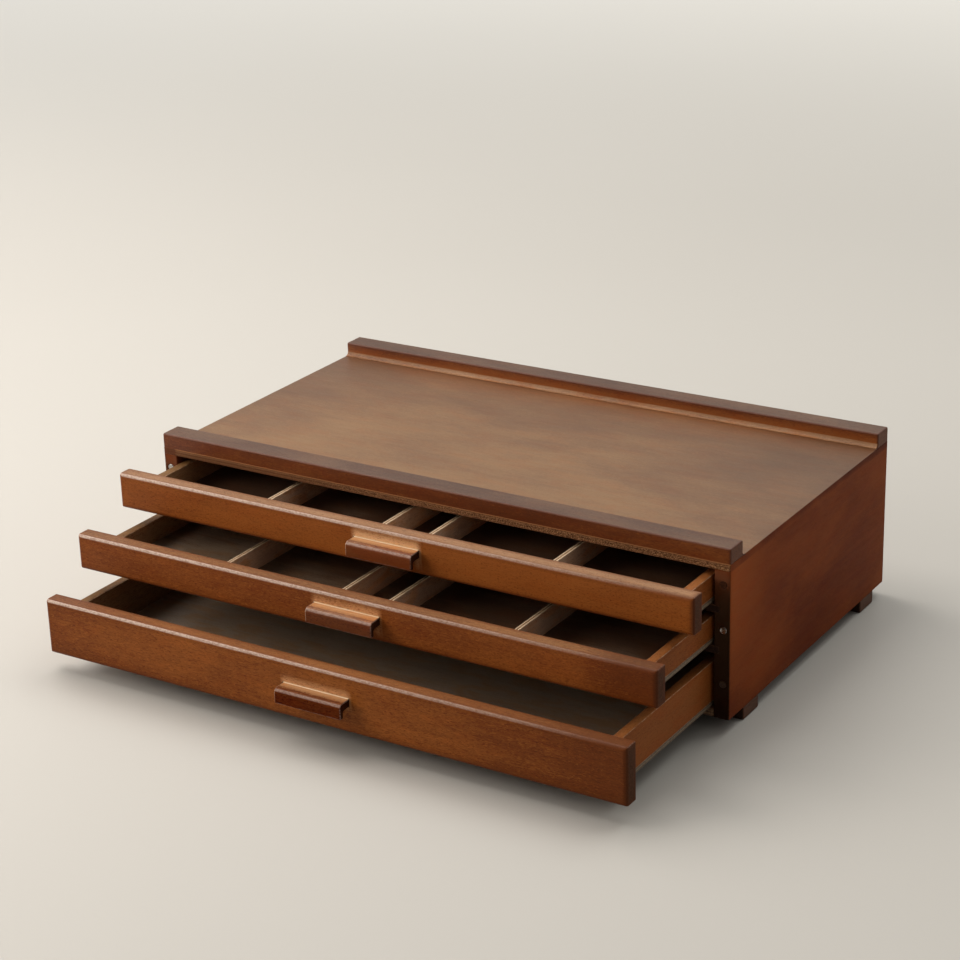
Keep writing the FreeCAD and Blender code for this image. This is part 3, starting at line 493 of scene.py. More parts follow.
def finish_piece(obj, nodes, grain="X", wear=None, tone=0.0, tone_at=None, highlight_strength_at=None, painted_light_at=None):
    """Writes what the materials read, and hands the piece to its body."""
    mesh = obj.data
    mesh.name = obj.name
    count = len(mesh.vertices)
    co = np.empty(count * 3, np.float64)
    mesh.vertices.foreach_get("co", co)
    co = co.reshape(-1, 3) / MM
    low, high = (wear if wear is not None else (co.min(0), co.max(0)))
    rng = random.Random("pen chest " + obj.name)
    shift = np.array([rng.uniform(-900, 900) for _ in range(3)])
    order = AXES[grain]
    axis = np.zeros(3)
    axis[order[0]] = 1.0
    for name, values in (
        ("grain", co[:, order] + shift),
        ("from_low", co - np.array(low)),
        ("from_high", np.array(high) - co),
        ("grain_axis", np.tile(axis, (count, 1))),
    ):
        made = mesh.attributes.new(name, "FLOAT_VECTOR", "POINT")
        made.data.foreach_set("vector", values.astype(np.float32).ravel())
    made = mesh.attributes.new("tone", "FLOAT", "POINT")
    tones = np.full(count, tone + rng.uniform(-0.025, 0.025), np.float32)
    if tone_at is not None:
        tones += np.array([tone_at(*p) for p in co], np.float32)
    made.data.foreach_set("value", tones)
    made = mesh.attributes.new("scuff", "FLOAT", "POINT")
    highlight_strengths = np.ones(count) if highlight_strength_at is None else np.array([highlight_strength_at(*p) for p in co])
    made.data.foreach_set("value", highlight_strengths.astype(np.float32))
    made = mesh.attributes.new("glow", "FLOAT", "POINT")
    painted_lights = np.zeros(count) if painted_light_at is None else np.array([painted_light_at(*p) for p in co])
    made.data.foreach_set("value", painted_lights.astype(np.float32))
    nodes = [nodes] if isinstance(nodes, str) else nodes
    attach(obj, BODY_OF[nodes[0]])
    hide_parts(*nodes)
    return obj


def edge_key(edge, low, high):
    """Such as X-+ for the edge along X at the low Y and the high Z."""
    a, b = edge.verts[0].co, edge.verts[1].co
    along = max(range(3), key=lambda i: abs(a[i] - b[i]))
    signs = "".join(
        "-" if abs(a[i] - low[i]) < abs(a[i] - high[i]) else "+" for i in range(3) if i != along
    )
    return "XYZ"[along] + signs


def rounded_box(name, low, high, radius, radii=None, segments=4):
    """A box whose every edge has a rounding of its own, in millimetres."""
    radii = radii or {}
    bm = bmesh.new()
    bmesh.ops.create_cube(bm, size=1.0)
    for v in bm.verts:
        for i in range(3):
            v.co[i] = (low[i] if v.co[i] < 0 else high[i]) * MM
    layer = bm.edges.layers.float.new("bevel_weight_edge")
    lo, hi = [x * MM for x in low], [x * MM for x in high]
    most = max([radius, *radii.values(), 1e-6])
    for edge in bm.edges:
        edge[layer] = radii.get(edge_key(edge, lo, hi), radius) / most
    mesh = bpy.data.meshes.new(name)
    bm.to_mesh(mesh)
    bm.free()
    obj = link(name, mesh)
    bevel = obj.modifiers.new("round", "BEVEL")
    bevel.limit_method = "WEIGHT"
    bevel.width = most * MM
    bevel.segments = segments
    bevel.profile = 0.5
    bevel.use_clamp_overlap = False
    bevel.miter_outer = "MITER_SHARP"
    settled(obj)
    return obj


def sliced(obj, xs=(), ys=(), zs=()):
    """Cuts the faces along planes, so that a tone can change along the piece."""
    bm = bmesh.new()
    bm.from_mesh(obj.data)
    for axis, places in enumerate((xs, ys, zs)):
        for place in places:
            at, way = Vector((0.0, 0.0, 0.0)), Vector((0.0, 0.0, 0.0))
            at[axis], way[axis] = place * MM, 1.0
            bmesh.ops.bisect_plane(bm, geom=bm.verts[:] + bm.edges[:] + bm.faces[:], dist=1e-7, plane_co=at, plane_no=way)
    bm.to_mesh(obj.data)
    bm.free()


def smooth(value, low, high):
    t = min(1.0, max(0.0, (value - low) / (high - low)))
    return t * t * (3.0 - 2.0 * t)


def cut_away(obj, cutters):
    """Takes the cutters' solids out of the piece."""
    for cutter in cutters:
        take = obj.modifiers.new("cut", "BOOLEAN")
        take.operation = "DIFFERENCE"
        take.solver = "EXACT"
        take.object = cutter
    settled(obj)
    for cutter in cutters:
        mesh = cutter.data
        bpy.data.objects.remove(cutter)
        bpy.data.meshes.remove(mesh)


def turned(name, outline, centre, axis, sides=40):
    """A solid of revolution: outline is (radius, distance along axis) in millimetres."""
    bm = bmesh.new()
    frame_of = Vector(axis).to_track_quat("Z", "Y").to_matrix()
    rings = []
    for radius, along in outline:
        if radius < 1e-6:
            rings.append([bm.verts.new(frame_of @ Vector((0, 0, along)) * MM + Vector(centre) * MM)])
            continue
        ring = []
        for i in range(sides):
            turn = 2 * math.pi * i / sides
            p = Vector((radius * math.cos(turn), radius * math.sin(turn), along))
            ring.append(bm.verts.new((frame_of @ p + Vector(centre)) * MM))
        rings.append(ring)
    for first, second in zip(rings, rings[1:]):
        for i in range(sides):
            j = (i + 1) % sides
            if len(first) == 1:
                bm.faces.new((first[0], second[j], second[i]))
            elif len(second) == 1:
                bm.faces.new((first[i], first[j], second[0]))
            else:
                bm.faces.new((first[i], first[j], second[j], second[i]))
    if len(rings[0]) > 1:
        bm.faces.new(list(reversed(rings[0])))
    if len(rings[-1]) > 1:
        bm.faces.new(rings[-1])
    bmesh.ops.recalc_face_normals(bm, faces=bm.faces)
    mesh = bpy.data.meshes.new(name)
    bm.to_mesh(mesh)
    bm.free()
    return link(name, mesh)


def joined(name, objects):
    """One object from several."""
    bm = bmesh.new()
    for o in objects:
        bm.from_mesh(o.data)
    mesh = bpy.data.meshes.new(name)
    bm.to_mesh(mesh)
    bm.free()
    for o in objects:
        old = o.data
        bpy.data.objects.remove(o)
        bpy.data.meshes.remove(old)
    return link(name, mesh)


def set_materials(obj, *names, choose=None):
    obj.data.materials.clear()
    for name in names:
        obj.data.materials.append(MATS[name])
    for polygon in obj.data.polygons:
        polygon.material_index = choose(polygon) if choose else 0


def span(node):
    low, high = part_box(node)
    return [x / MM for x in low], [x / MM for x in high]


CASE_LOW = [-200.0, -45.25, 8.0]
CASE_HIGH = [200.0, 175.75, 113.8]

# ------------------------------------------------------------------- the case


def side_panel(side):
    node = side + "_side_panel"
    low, high = span(node)
    outer, inner = ("-", "+") if side == "left" else ("+", "-")
    radii = {
        "Z%s-" % outer: 0.7,  # outer front arris
        "Z%s-" % inner: 0.6,
        "Z%s+" % outer: 0.7,
        "Z%s+" % inner: 0.15,
        "Y%s-" % outer: 0.7,
        "Y%s-" % inner: 0.3,
        "Y%s+" % outer: 0.0,
        "Y%s+" % inner: 0.0,
        "X--": 0.6,
        "X-+": 0.0,
        "X+-": 0.5,
        "X++": 0.0,
    }
    obj = rounded_box(node, low, high, 0.4, radii, 4)
    cutters = []
    for runner in ("upper", "middle"):
        a, b = span("%s_%s_runner" % (runner, side))
        a, b = list(a), list(b)
        a[1] -= 2.0
        if side == "left":
            b[0] = high[0] + 2.0
        else:
            a[0] = low[0] - 2.0
        cutters.append(rounded_box("groove", a, b, 0.0, {}, 1))
    for z in (91.2, 63.4, 29.7):
        x = -195.5 if side == "left" else 195.5
        cutters.append(
            turned("hole", [(2.75, -1.0), (2.75, 0.0), (2.3, 0.45), (2.3, 5.0)], (x, low[1], z), (0, 1, 0), 36)
        )
    cut_away(obj, cutters)
    sliced(obj, ys=(-40.0, -20.0, 0.0, 25.0, 50.0, 80.0, 110.0, 140.0, 165.0), zs=(20.0, 40.0, 60.0, 74.0, 80.0, 84.0, 88.0, 93.0, 98.0))
    sharpen(obj.data)
    soften(obj)
    inner = high[0] if side == "left" else low[0]
    # The front edge and the inner face take the dark edge wood, painted shade where the drawer fronts and the case
    # shade them.
    set_materials(
        obj, "side", "side_edge",
        choose=lambda p: 1 if p.center.y < (low[1] + 5.5) * MM and abs(p.normal.x) < 0.75 and abs(p.normal.z) < 0.9 or abs(p.center.x / MM - inner) < 2 else 0,
    )
    # Painted light and shade: the side is painted paler towards the upper front and darker towards the front's foot, a
    # little darker from just behind the front, and paler again at the back; the front edge and inner face are painted
    # lit towards their top.
    return finish_piece(
        obj, node, "Y", (CASE_LOW, CASE_HIGH),
        tone_at=lambda x, y, z: smooth(y, 10.0, -45.0) * (0.40 * smooth(z, 25.0, 90.0) - 0.12 * smooth(z, 50.0, 12.0)) - 0.06 * smooth(y, 0.0, 60.0) + 0.10 * smooth(y, 130.0, 175.0),
        painted_light_at=lambda x, y, z: 0.12 * smooth(z, 70.0, 82.0) + 0.30 * smooth(z, 81.0, 90.0) + 0.58 * smooth(z, 88.0, 98.0),
    )


side_panel("left")
side_panel("right")


def top_panel():
    low, high = span("top_panel")
    radii = {"X-+": 0.0, "X++": 0.0, "Y--": 0.0, "Y+-": 0.0, "Y-+": 0.5, "Y++": 0.5, "X--": 0.35, "X+-": 0.0,
             "Z--": 0.6, "Z+-": 0.6, "Z-+": 0.6, "Z++": 0.6}
    obj = rounded_box("top_panel", low, high, 0.0, radii, 4)
    sliced(obj, xs=(-170.0, -120.0, -60.0, 0.0, 60.0, 110.0, 150.0, 180.0), ys=(-20.0, 10.0, 60.0, 100.0, 125.0, 145.0, 158.0))
    sharpen(obj.data)
    soften(obj)
    set_materials(
        obj, "top", "top_edge", "side_band",
        choose=lambda p: 1 if p.normal.y < -0.7 or p.normal.y > 0.7 else (2 if abs(p.normal.x) > 0.7 else 0),
    )
    # Painted light and shade: it is darker along the back rail, which shades it, towards both ends and across its
    # middle, and paler towards the front rail; a painted reflection of the back rail's inner face lies on it just in
    # front of that rail.
    return finish_piece(
        obj, "top_panel", "X", ([-200.0, -45.25, 100.0], [200.0, 175.75, 113.8]),
        tone_at=lambda x, y, z: (0.0 if z < 104.0 else 0.12 * smooth(y, 15.0, -30.0) - 0.04 * smooth(y, 20.0, 70.0) - 0.13 * smooth(y, 90.0, 160.0) - 0.14 * smooth(x, 60.0, 190.0) - 0.08 * smooth(x, -110.0, -195.0) - 0.07 * smooth(y, 60.0, 105.0) * smooth(y, 145.0, 115.0)),
        painted_light_at=lambda x, y, z: 0.9 * smooth(y, 128.0, 158.0) if z > 104.0 else 0.0,
    )


top_panel()


def arc(cy, cz, r, start, stop, steps):
    return [
        (cy + r * math.cos(math.radians(start + (stop - start) * i / steps)),
         cz + r * math.sin(math.radians(start + (stop - start) * i / steps)))
        for i in range(steps + 1)
    ]


def extruded(name, outline, x0, x1, end_round, round_points, slices=1, segments=3):
    """outline (y, z) in millimetres, anticlockwise seen from +X, run from x0 to x1."""
    bm = bmesh.new()
    rings = []
    for k in range(slices + 1):
        x = x0 + (x1 - x0) * k / slices
        rings.append([bm.verts.new((x * MM, y * MM, z * MM)) for y, z in outline])
    n = len(outline)
    for first, second in zip(rings, rings[1:]):
        for i in range(n):
            j = (i + 1) % n
            bm.faces.new((first[i], first[j], second[j], second[i]))
    start = bm.faces.new(list(reversed(rings[0])))
    stop = bm.faces.new(rings[-1])
    bmesh.ops.recalc_face_normals(bm, faces=bm.faces)
    layer = bm.edges.layers.float.new("bevel_weight_edge")
    for face in (start, stop):
        for edge in face.edges:
            mid = (edge.verts[0].co + edge.verts[1].co) / 2 / MM
            if round_points(mid.y, mid.z):
                edge[layer] = 1.0
    mesh = bpy.data.meshes.new(name)
    bm.to_mesh(mesh)
    bm.free()
    obj = link(name, mesh)
    if end_round > 0:
        bevel = obj.modifiers.new("round", "BEVEL")
        bevel.limit_method = "WEIGHT"
        bevel.width = end_round * MM
        bevel.segments = segments
        bevel.use_clamp_overlap = False
        settled(obj)
    return obj


def top_rail(which):
    node = which + "_top_rail"
    low, high = span(node)
    s = 1.0 if which == "front" else -1.0
    outer = low[1] if which == "front" else high[1]
    z0, z1 = low[2], high[2]
    wide, cove, toe, r = 15.5, 2.5, 0.3, 1.1
    points = [(0.0, 0.0), (wide + cove, 0.0), (wide + cove, toe)]
    points += [(wide + cove - cove * math.sin(a), toe + cove - cove * math.cos(a)) for a in [math.radians(9 * i) for i in range(1, 11)]]
    points += arc(wide - r, z1 - z0 - r, r, 0, 90, 5)
    points += arc(r, z1 - z0 - r, r, 90, 180, 5)
    outline = [(outer + s * y, z0 + z) for y, z in points]
    if s < 0:
        outline.reverse()
    obj = extruded(
        node, outline, low[0], high[0], 0.9,
        lambda y, z: z > z0 + 0.2,
        slices=1,
    )
    sharpen(obj.data, 50)
    soften(obj)
    inner = outer + s * wide
    set_materials(
        obj, "rail", "cove",
        choose=lambda p: 1 if p.center.z / MM < z0 + cove + toe + 0.4 and s * (p.center.y / MM - inner) > -0.05 and abs(p.normal.x) < 0.7 else 0,
    )
    wear = ([-200.0, outer if s > 0 else outer - wide, 8.0], [200.0, outer + wide if s > 0 else outer, z1])
    # Painted light and shade: the inner face is painted paler towards the hollow at its foot, where light gathers, and
    # darker towards its top; the other faces are painted a little darker.
    def tone_at(x, y, z):
        if s * (y - inner) > -0.6:
            return 0.05 + 0.17 * smooth(z, z0 + 1.4, z0 + 2.8) - 0.36 * smooth(z, z0 + 2.6, z1)
        if s > 0:
            return -0.12 if z < z1 - 1.0 else -0.05
        return -0.08

    return finish_piece(obj, node, "X", wear, tone_at=tone_at)


top_rail("front")
top_rail("back")

for node, grain, material, edge in (
    ("bottom_panel", "X", "inner_ply", "panel_edge"),
    ("back_panel", "X", "inner_ply", "panel_edge"),
):
    low, high = span(node)
    obj = rounded_box(node, low, high, 0.2, {}, 2)
    sharpen(obj.data)
    soften(obj)
    thin = 2 if node == "bottom_panel" else 1
    set_materials(obj, material, edge, choose=lambda p, t=thin: 0 if abs(p.normal[t]) > 0.7 else 1)
    finish_piece(obj, node, grain)

for which in ("upper", "middle"):
    for side in ("left", "right"):
        node = "%s_%s_runner" % (which, side)
        low, high = span(node)
        obj = rounded_box(node, low, high, 0.35, {}, 3)
        sharpen(obj.data)
        soften(obj)
        set_materials(obj, "runner")
        finish_piece(obj, node, "Y")

for end in ("front", "rear"):
    for side in ("left", "right"):
        node = "%s_%s_foot" % (end, side)
        low, high = span(node)
        obj = rounded_box(node, low, high, 0.9, {k: 0.25 for k in ("X-+", "X++", "Y-+", "Y++")}, 4)
        sharpen(obj.data)
        soften(obj)
        set_materials(obj, "foot")
        finish_piece(obj, node, "Y")

magnets = []
for x in (-195.5, 195.5):
    for z in (91.2, 63.4, 29.7):
        front = -45.25 + 0.2
        magnets.append(
            turned(
                "magnet",
                [(0.0, 4.8), (2.1, 4.8), (2.25, 4.6), (2.25, 0.35), (2.18, 0.14), (2.02, 0.03), (1.85, 0.0), (1.70, 0.05), (1.20, 0.24), (0.60, 0.33), (0.0, 0.35)],
                (x, front, z), (0, 1, 0), 36,
            )
        )
obj = joined("case_magnets", magnets)
sharpen(obj.data, 50)
soften(obj)
# Stain and lacquer went over some of them more than over others.
set_materials(
    obj, "magnet", "magnet_dull", "magnet_stained",
    choose=lambda p: (2 if p.center.z > 0.08 else (0 if p.center.z > 0.05 else 1)) if p.center.x > 0 else (0 if p.center.z > 0.08 else 1),
)
finish_piece(
    obj, "case_magnets", "X",
    tone_at=lambda x, y, z: 0.25 if 50 < z < 80 and x > 0 else 0.0,
)

# ---------------------------------------------------------------- the drawers

PULL_ROUND, PULL_LIP, PULL_HEEL, PULL_HOLLOW = 3.0, 2.9, 4.9, 1.6
# A pushed-in drawer's board stops this far off the case's front edges.
SHUT_GAP = 0.03


def drawer_front(name):
    node = name + "_drawer_front"
    low, high = span(node)
    high = [high[0], high[1] - SHUT_GAP, high[2]]
    radii = {"X--": 2.5, "X-+": 2.5, "Z--": 2.5, "Z+-": 2.5, "Y--": 0.8, "Y-+": 0.9, "Y+-": 0.8, "Y++": 0.9,
             "X+-": 0.5, "X++": 0.8, "Z-+": 0.7, "Z++": 0.7}
    obj = rounded_box(node, low, high, 0.7, radii, 8)
    discs_low, discs_high = span(name + "_drawer_discs")
    z = (discs_low[2] + discs_high[2]) / 2
    back = high[1]
    cutters = [
        turned("recess", [(3.05, -1.0), (3.05, 1.2)], (x, back, z), (0, -1, 0), 44) for x in (-195.5, 195.5)
    ]
    screws_low, screws_high = span(name + "_drawer_pull_screws")
    z = (screws_low[2] + screws_high[2]) / 2
    for x in (-11.0, 11.0):
        cutters.append(
            turned("sink", [(4.1, -1.0), (3.1, 0.0), (1.7, 1.4), (1.7, 12.0)], (x, back, z), (0, -1, 0), 36)
        )
    cut_away(obj, cutters)
    pull_low, pull_high = span(name + "_drawer_pull")
    above = pull_high[2]
    sliced(
        obj,
        xs=(-192.0, -170.0, -140.0, -110.0, -80.0, -50.0, pull_low[0] - 2.0, pull_low[0], pull_low[0] + 2.0,
            pull_high[0] - 2.0, pull_high[0], pull_high[0] + 2.0, 50.0, 75.0, 100.0, 125.0, 150.0, 175.0, 192.0),
        zs=(above, above + 1.2, above + 3.0, above + 5.5) + ((17.0, 24.0) if name == "lower" else ()),
    )
    sharpen(obj.data)
    soften(obj)
    set_materials(obj, "front_" + name)
    right_shade, right_shade_from = {"upper": (0.02, 70.0), "middle": (0.16, 148.0), "lower": (0.19, 80.0)}[name]

    def tone_at(x, y, z):
        # Painted shade darkens the board towards the right end, and light thrown up from the pull's top is painted on
        # the face just above the pull. The upper board is also paler from a little left of its middle on, the middle
        # board has a paler stretch on its right half, and the lower board is darker towards its left end and its
        # bottom.
        pull_bounce = smooth(x, pull_low[0] - 2.0, pull_low[0] + 2.0) * smooth(x, pull_high[0] + 2.0, pull_high[0] - 2.0)
        pull_bounce *= smooth(z, above + 5.5, above + 0.5) if z > above - 0.5 else 0.0
        tone = (0.10 * pull_bounce if y < low[1] + 0.5 else 0.0) - right_shade * smooth(x, right_shade_from, 190.0)
        if name == "upper":
            tone += 0.06 * smooth(x, -120.0, -20.0)
        if name == "middle":
            tone += 0.09 * smooth(x, 60.0, 115.0) * smooth(x, 178.0, 148.0)
        if name == "lower":
            tone -= 0.10 * smooth(x, -80.0, -190.0) + 0.10 * smooth(z, 24.0, 11.0)
        return tone

    def painted_light_at(x, y, z):
        pull_bounce = smooth(x, pull_low[0] - 2.0, pull_low[0] + 2.0) * smooth(x, pull_high[0] + 2.0, pull_high[0] - 2.0)
        # Light thrown up from the pull's top, painted on the board: on the lower board it dies out before the rounding;
        # the others are too narrow.
        least = 0.0 if name == "lower" else 0.30
        return 0.92 * pull_bounce * (least + (1.0 - least) * smooth(z, above + 6.5, above)) if z > above - 0.2 and y < low[1] + 0.5 else 0.0

    # The painted highlight on the top rounding is strongest at the left end and in the middle, and fades towards the
    # right end.
    return finish_piece(
        obj, node, "X", tone={"upper": 0.03, "middle": -0.07, "lower": 0.02}[name], tone_at=tone_at, painted_light_at=painted_light_at,
        highlight_strength_at=lambda x, y, z: min(1.0, max(0.0, (178.0 - x) / 230.0)) ** 0.7 + 0.12 * smooth(x, -90.0, -180.0),
    )


def drawer_pull(name):
    node = name + "_drawer_pull"
    low, high = span(node)
    face = span(name + "_drawer_front")[0][1]
    z0, z1 = low[2], high[2]
    deep = face - low[1]
    under = z1 - z0 - PULL_HEEL
    bead = 0.6
    # Seen from +X with -Y to the left: up the lip's front, over the round,
    # back along the top, up the bead of lacquer at the board, and down.
    outline = [(-deep, 0.0 + 0.5)]
    outline += [(-deep + PULL_ROUND - PULL_ROUND * math.cos(a), z1 - z0 - PULL_ROUND + PULL_ROUND * math.sin(a)) for a in [math.radians(9 * i) for i in range(0, 11)]]
    outline += [(-4.4, z1 - z0), (-2.6, z1 - z0), (-bead - bead * 0.6, z1 - z0)]
    outline += [(-bead + bead * math.sin(a) , z1 - z0 + bead - bead * math.cos(a)) for a in [math.radians(15 * i) for i in range(0, 6)]]
    outline += [(0.0, z1 - z0 + bead), (0.0, under)]
    outline += [(-deep + PULL_LIP + PULL_HOLLOW - PULL_HOLLOW * math.sin(a), under - PULL_HOLLOW + PULL_HOLLOW * math.cos(a)) for a in [math.radians(15 * i) for i in range(0, 7)]]
    outline += [(-deep + PULL_LIP, 0.5), (-deep + PULL_LIP - 0.5, 0.0), (-deep + 0.5, 0.0)]
    outline = [(face + y, z0 + z) for y, z in outline]
    obj = extruded(
        node, outline, low[0], high[0], 0.8,
        lambda y, z: y < face - 0.05 and z > z0 - 1,
        slices=1,
    )
    # The pilot holes, which the screws end in.
    screws_low, screws_high = span(name + "_drawer_pull_screws")
    z = (screws_low[2] + screws_high[2]) / 2
    cut_away(
        obj,
        [turned("pilot", [(1.55, -1.0), (1.55, 5.6), (0.0, 6.6)], (x, face, z), (0, -1, 0), 28) for x in (-11.0, 11.0)],
    )
    sharpen(obj.data, 50)
    soften(obj)
    set_materials(obj, "pull_lower" if name == "lower" else "pull", "bead", choose=lambda p: 1 if p.center.z / MM > z1 + 0.02 and abs(p.normal.x) < 0.8 else 0)
    wear = (low, [high[0], high[1] + 30.0, high[2]])
    # Painted highlight: the top is painted palest at the board and darker towards the rounding, and the band just below
    # the top darker still; the upper pull is a touch paler elsewhere. A highlight is also painted along the left end's
    # arris.
    return finish_piece(
        obj, node, "X", wear,
        tone_at=lambda x, y, z: 0.84 * max(0.0, 1.0 - (face - y) / (deep - PULL_ROUND)) ** 1.15 - 0.15 if z > z1 - 0.05 else (-0.12 if z > z1 - 1.2 else (0.16 if name == "upper" else 0.0)),
        painted_light_at=lambda x, y, z: 0.9 if 0.05 < x - low[0] < 0.7 and z > z0 + 3.0 else 0.0,
    )


def pull_screws(name):
    node = name + "_drawer_pull_screws"
    low, high = span(node)
    z = (low[2] + high[2]) / 2
    made = []
    for x in (-11.0, 11.0):
        thread = [(0.0, 0.0), (2.9, 0.0), (3.0, 0.08), (1.5, 1.5)]
        along = 2.2
        while along < 13.6:
            thread += [(1.22, along), (1.5, along + 0.42), (1.5, along + 0.5), (1.22, along + 0.9)]
            along += 1.05
        thread += [(1.1, 14.2), (0.0, 16.0)]
        screw = turned("screw", thread, (x, high[1], z), (0, -1, 0), 32)
        lean = math.radians(17 if x < 0 else 61)
        cross = []
        for k in (0, 1):
            a = lean + k * math.pi / 2
            slot = rounded_box("slot", [-2.0, -1.0, -0.36], [2.0, 1.3, 0.36], 0.0, {}, 1)
            slot.data.transform(Matrix.Translation(Vector((x, high[1] - 0.0, z)) * MM) @ Matrix.Rotation(a, 4, "Y"))
            slot.data.transform(Matrix.Translation((0.0, -0.3 * MM, 0.0)))
            cross.append(slot)
        cut_away(screw, cross)
        made.append(screw)
    obj = joined(node, made)
    sharpen(obj.data, 35)
    soften(obj)
    set_materials(obj, "screw")
    return finish_piece(obj, node, "Y")


def drawer_discs(name):
    node = name + "_drawer_discs"
    low, high = span(node)
    z = (low[2] + high[2]) / 2
    made = [
        turned("disc", [(0.0, 0.0), (2.75, 0.0), (2.93, 0.06), (3.0, 0.22), (3.0, 1.2), (0.0, 1.2)], (x, high[1] - SHUT_GAP, z), (0, -1, 0), 44)
        for x in (-195.5, 195.5)
    ]
    obj = joined(node, made)
    sharpen(obj.data, 50)
    soften(obj)
    set_materials(obj, "disc")
    return finish_piece(obj, node, "X")


def drawer_box(name):
    for part in ("left_side", "right_side", "back"):
        node = "%s_drawer_%s" % (name, part)
        low, high = span(node)
        obj = rounded_box(node, low, high, 0.2, {"Y-+": 0.55, "Y++": 0.55, "X-+": 0.5, "X++": 0.5} if part != "back" else {"X-+": 0.5, "X++": 0.5}, 3)
        sharpen(obj.data)
        soften(obj)
        inward = {"left_side": (0, 1), "right_side": (0, -1), "back": (1, -1)}[part]
        set_materials(obj, "wall_left" if part == "left_side" else "wall", "wall_inner", choose=lambda p, way=inward: 1 if p.normal[way[0]] * way[1] > 0.9 else 0)
        # Painted light and shade in the lower drawer: wall ends beyond 185 mm from the middle are painted lit, and what
        # lies nearer the middle painted shaded; the other drawers' walls are a touch paler all over.
        painted_light_out = 0.10 if name == "lower" else 0.02
        painted_shade_in = -0.05 if name == "lower" else 0.02
        finish_piece(obj, node, "X" if part == "back" else "Y", tone_at=lambda x, y, z, o=painted_light_out, i=painted_shade_in: i if abs(x) < 185.0 else o)
    node = name + "_drawer_bottom"
    low, high = span(node)
    obj = rounded_box(node, low, high, 0.2, {"Y--": 0.35, "Y+-": 0.35}, 3)
    sliced(obj, xs=(-160.0, -120.0, -80.0, -40.0, 0.0, 40.0, 80.0, 120.0, 160.0), ys=(low[1] + 8.0, low[1] + 25.0, low[1] + 60.0, low[1] + 110.0))
    sharpen(obj.data)
    soften(obj)
    set_materials(obj, "floor_ply", "thin_edge", choose=lambda p: 0 if abs(p.normal.z) > 0.7 else 1)
    # Painted light and shade: the upper drawer's bottom is darkest, under the case's top, and the lower one's palest;
    # each is painted lit towards its front and its front left, and a painted pool of light lies at the front right of
    # the middle one and over the front left of the lower one.
    finish_piece(
        obj, node, "X", tone={"upper": -0.30, "middle": -0.20, "lower": 0.22}[name],
        tone_at=lambda x, y, z: 0.16 * smooth(x, -20.0, -130.0) * smooth(y, low[1] + 110.0, low[1] + 25.0) + 0.06 * smooth(y, low[1] + 60.0, low[1]),
        painted_light_at=lambda x, y, z: {
            "upper": 0.0,
            "middle": 0.30 * smooth(x, 60.0, 130.0) * smooth(y, low[1] + 60.0, low[1] + 8.0),
            "lower": 0.30 * smooth(x, -60.0, -150.0) * smooth(y, low[1] + 110.0, low[1] + 25.0),
        }[name],
    )
    if name == "lower":
        return
    for number in range(1, 5):
        node = "%s_divider_%d" % (name, number)
        low, high = span(node)
        obj = rounded_box(node, low, high, 0.12, {"Y-+": 0.3, "Y++": 0.3}, 3)
        sharpen(obj.data)
        soften(obj)
        set_materials(obj, "divider", "divider_edge", choose=lambda p: 0 if abs(p.normal.x) > 0.7 else 1)
        finish_piece(obj, node, "Y")


for name in ("upper", "middle", "lower"):
    drawer_front(name)
    drawer_pull(name)
    pull_screws(name)
    drawer_discs(name)
    drawer_box(name)

# -------------------------------------------------------------------- studio

floor_mesh = bpy.data.meshes.new("studio_floor")
bm = bmesh.new()
bmesh.ops.create_grid(bm, x_segments=16, y_segments=16, size=24.0)
bm.to_mesh(floor_mesh)
bm.free()
studio_floor = link("studio_floor", floor_mesh)
g = Graph("studio_floor")
place = g.node("ShaderNodeNewGeometry").outputs["Position"]
soft = g.noise(place, 1.1, 2.0, 0.5, 0.0)
g.put(g.bsdf.inputs["Base Color"], g.ramp(soft, [(0.35, (0.430, 0.400, 0.365)), (0.65, (0.440, 0.410, 0.375))]))
g.put(g.bsdf.inputs["Roughness"], 0.6)
g.put(g.bsdf.inputs["Specular IOR Level"], 0.2)
# The studio lights fade with distance, and the far floor stays pale all the same.
far = g.step(g.vector("LENGTH", place), 0.8, 2.9)
g.put(g.bsdf.inputs["Emission Color"], g.blend(far, (0.0, 0.0, 0.0), (0.44, 0.425, 0.395)))
g.put(g.bsdf.inputs["Emission Strength"], 1.0)
floor_mesh.materials.append(g.mat)

world = bpy.data.worlds.new("studio")
world.use_nodes = True
SCENE.world = world
sky = world.node_tree
back = sky.nodes["Background"]
# A pale wall stands behind the table; the room in front of it is dimmer.
way = sky.nodes.new("ShaderNodeTexCoord")
apart = sky.nodes.new("ShaderNodeSeparateXYZ")
sky.links.new(way.outputs["Generated"], apart.inputs[0])
fade = sky.nodes.new("ShaderNodeMapRange")
fade.interpolation_type = "SMOOTHSTEP"
fade.inputs["From Min"].default_value = -0.7
fade.inputs["From Max"].default_value = 0.8
fade.inputs["To Min"].default_value = 0.20
fade.inputs["To Max"].default_value = 0.78
sky.links.new(apart.outputs[1], fade.inputs["Value"])
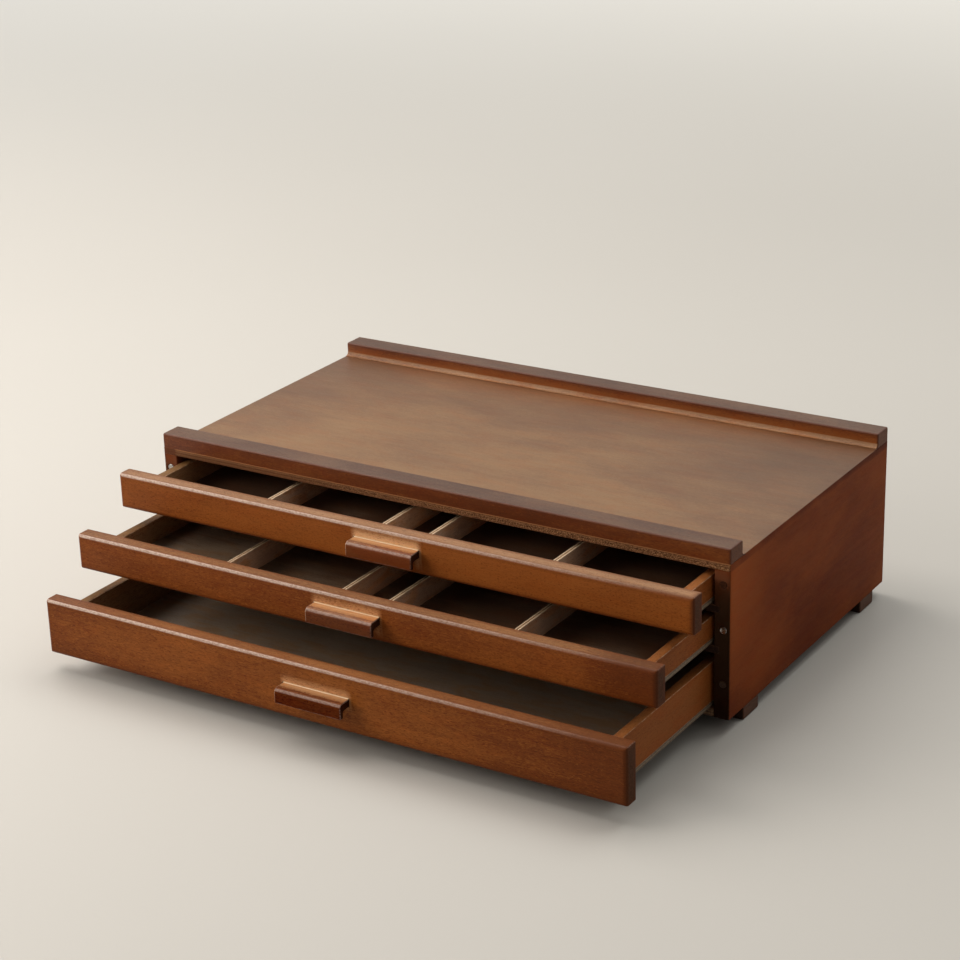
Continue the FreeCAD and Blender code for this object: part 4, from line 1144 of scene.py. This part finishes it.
# Less light comes from the right.
aside = sky.nodes.new("ShaderNodeMapRange")
aside.interpolation_type = "SMOOTHSTEP"
aside.inputs["From Min"].default_value = 0.0
aside.inputs["From Max"].default_value = 1.0
aside.inputs["To Min"].default_value = 1.0
aside.inputs["To Max"].default_value = 0.68
sky.links.new(apart.outputs[0], aside.inputs["Value"])
both = sky.nodes.new("ShaderNodeMath")
both.operation = "MULTIPLY"
sky.links.new(fade.outputs["Result"], both.inputs[0])
sky.links.new(aside.outputs["Result"], both.inputs[1])
back.inputs["Color"].default_value = (0.98, 1.0, 0.97, 1.0)
sky.links.new(both.outputs[0], back.inputs["Strength"])


def area_light(name, place, aim, wide, high, power, colour=(1.0, 1.0, 1.0)):
    data = bpy.data.lights.new(name, "AREA")
    data.shape = "RECTANGLE"
    data.size, data.size_y = wide, high
    data.energy = power
    data.color = colour
    made = bpy.data.objects.new(name, data)
    made.location = place
    made.rotation_mode = "QUATERNION"
    made.rotation_quaternion = (Vector(aim) - Vector(place)).to_track_quat("-Z", "Y")
    SCENE.collection.objects.link(made)
    return made


area_light("soft_overhead", (-0.85, 0.12, 1.45), (0.0, 0.0, 0.05), 1.3, 1.7, 27.0, (1.0, 0.97, 0.93))
area_light("soft_back", (0.40, 2.20, 2.90), (0.0, 1.9, 0.0), 3.0, 1.6, 52.0, (0.97, 1.0, 0.98))
area_light("soft_left", (-1.80, 0.10, 0.80), (0.0, 0.0, 0.05), 1.2, 1.0, 6.0, (1.0, 0.98, 0.95))
area_light("soft_front", (-1.00, -0.80, 0.62), (0.0, -0.05, 0.05), 0.8, 0.7, 11.0, (1.0, 0.96, 0.90))

# -------------------------------------------------------------------- camera

camera_data = bpy.data.cameras.new("camera")
camera_data.sensor_width = 36.0
camera_data.lens = 2409.46 / 960 * 36.0
camera_data.clip_start, camera_data.clip_end = 0.05, 50.0
camera = bpy.data.objects.new("camera", camera_data)
SCENE.collection.objects.link(camera)
yaw, pitch, roll = math.radians(-32.377), math.radians(-21.442), math.radians(-1.713)
ahead = Vector((math.sin(yaw) * math.cos(pitch), math.cos(yaw) * math.cos(pitch), math.sin(pitch)))
right = Vector((math.cos(yaw), -math.sin(yaw), 0.0))
over = right.cross(ahead)
side_way = right * math.cos(roll) + over * math.sin(roll)
up_way = over * math.cos(roll) - right * math.sin(roll)
turn = Matrix((side_way, up_way, -ahead)).transposed()
camera.matrix_world = Matrix.Translation((0.73865, -1.15124, 0.63966)) @ turn.to_4x4()
SCENE.camera = camera
SCENE.view_settings.view_transform = "Standard"
SCENE.view_settings.look = "None"
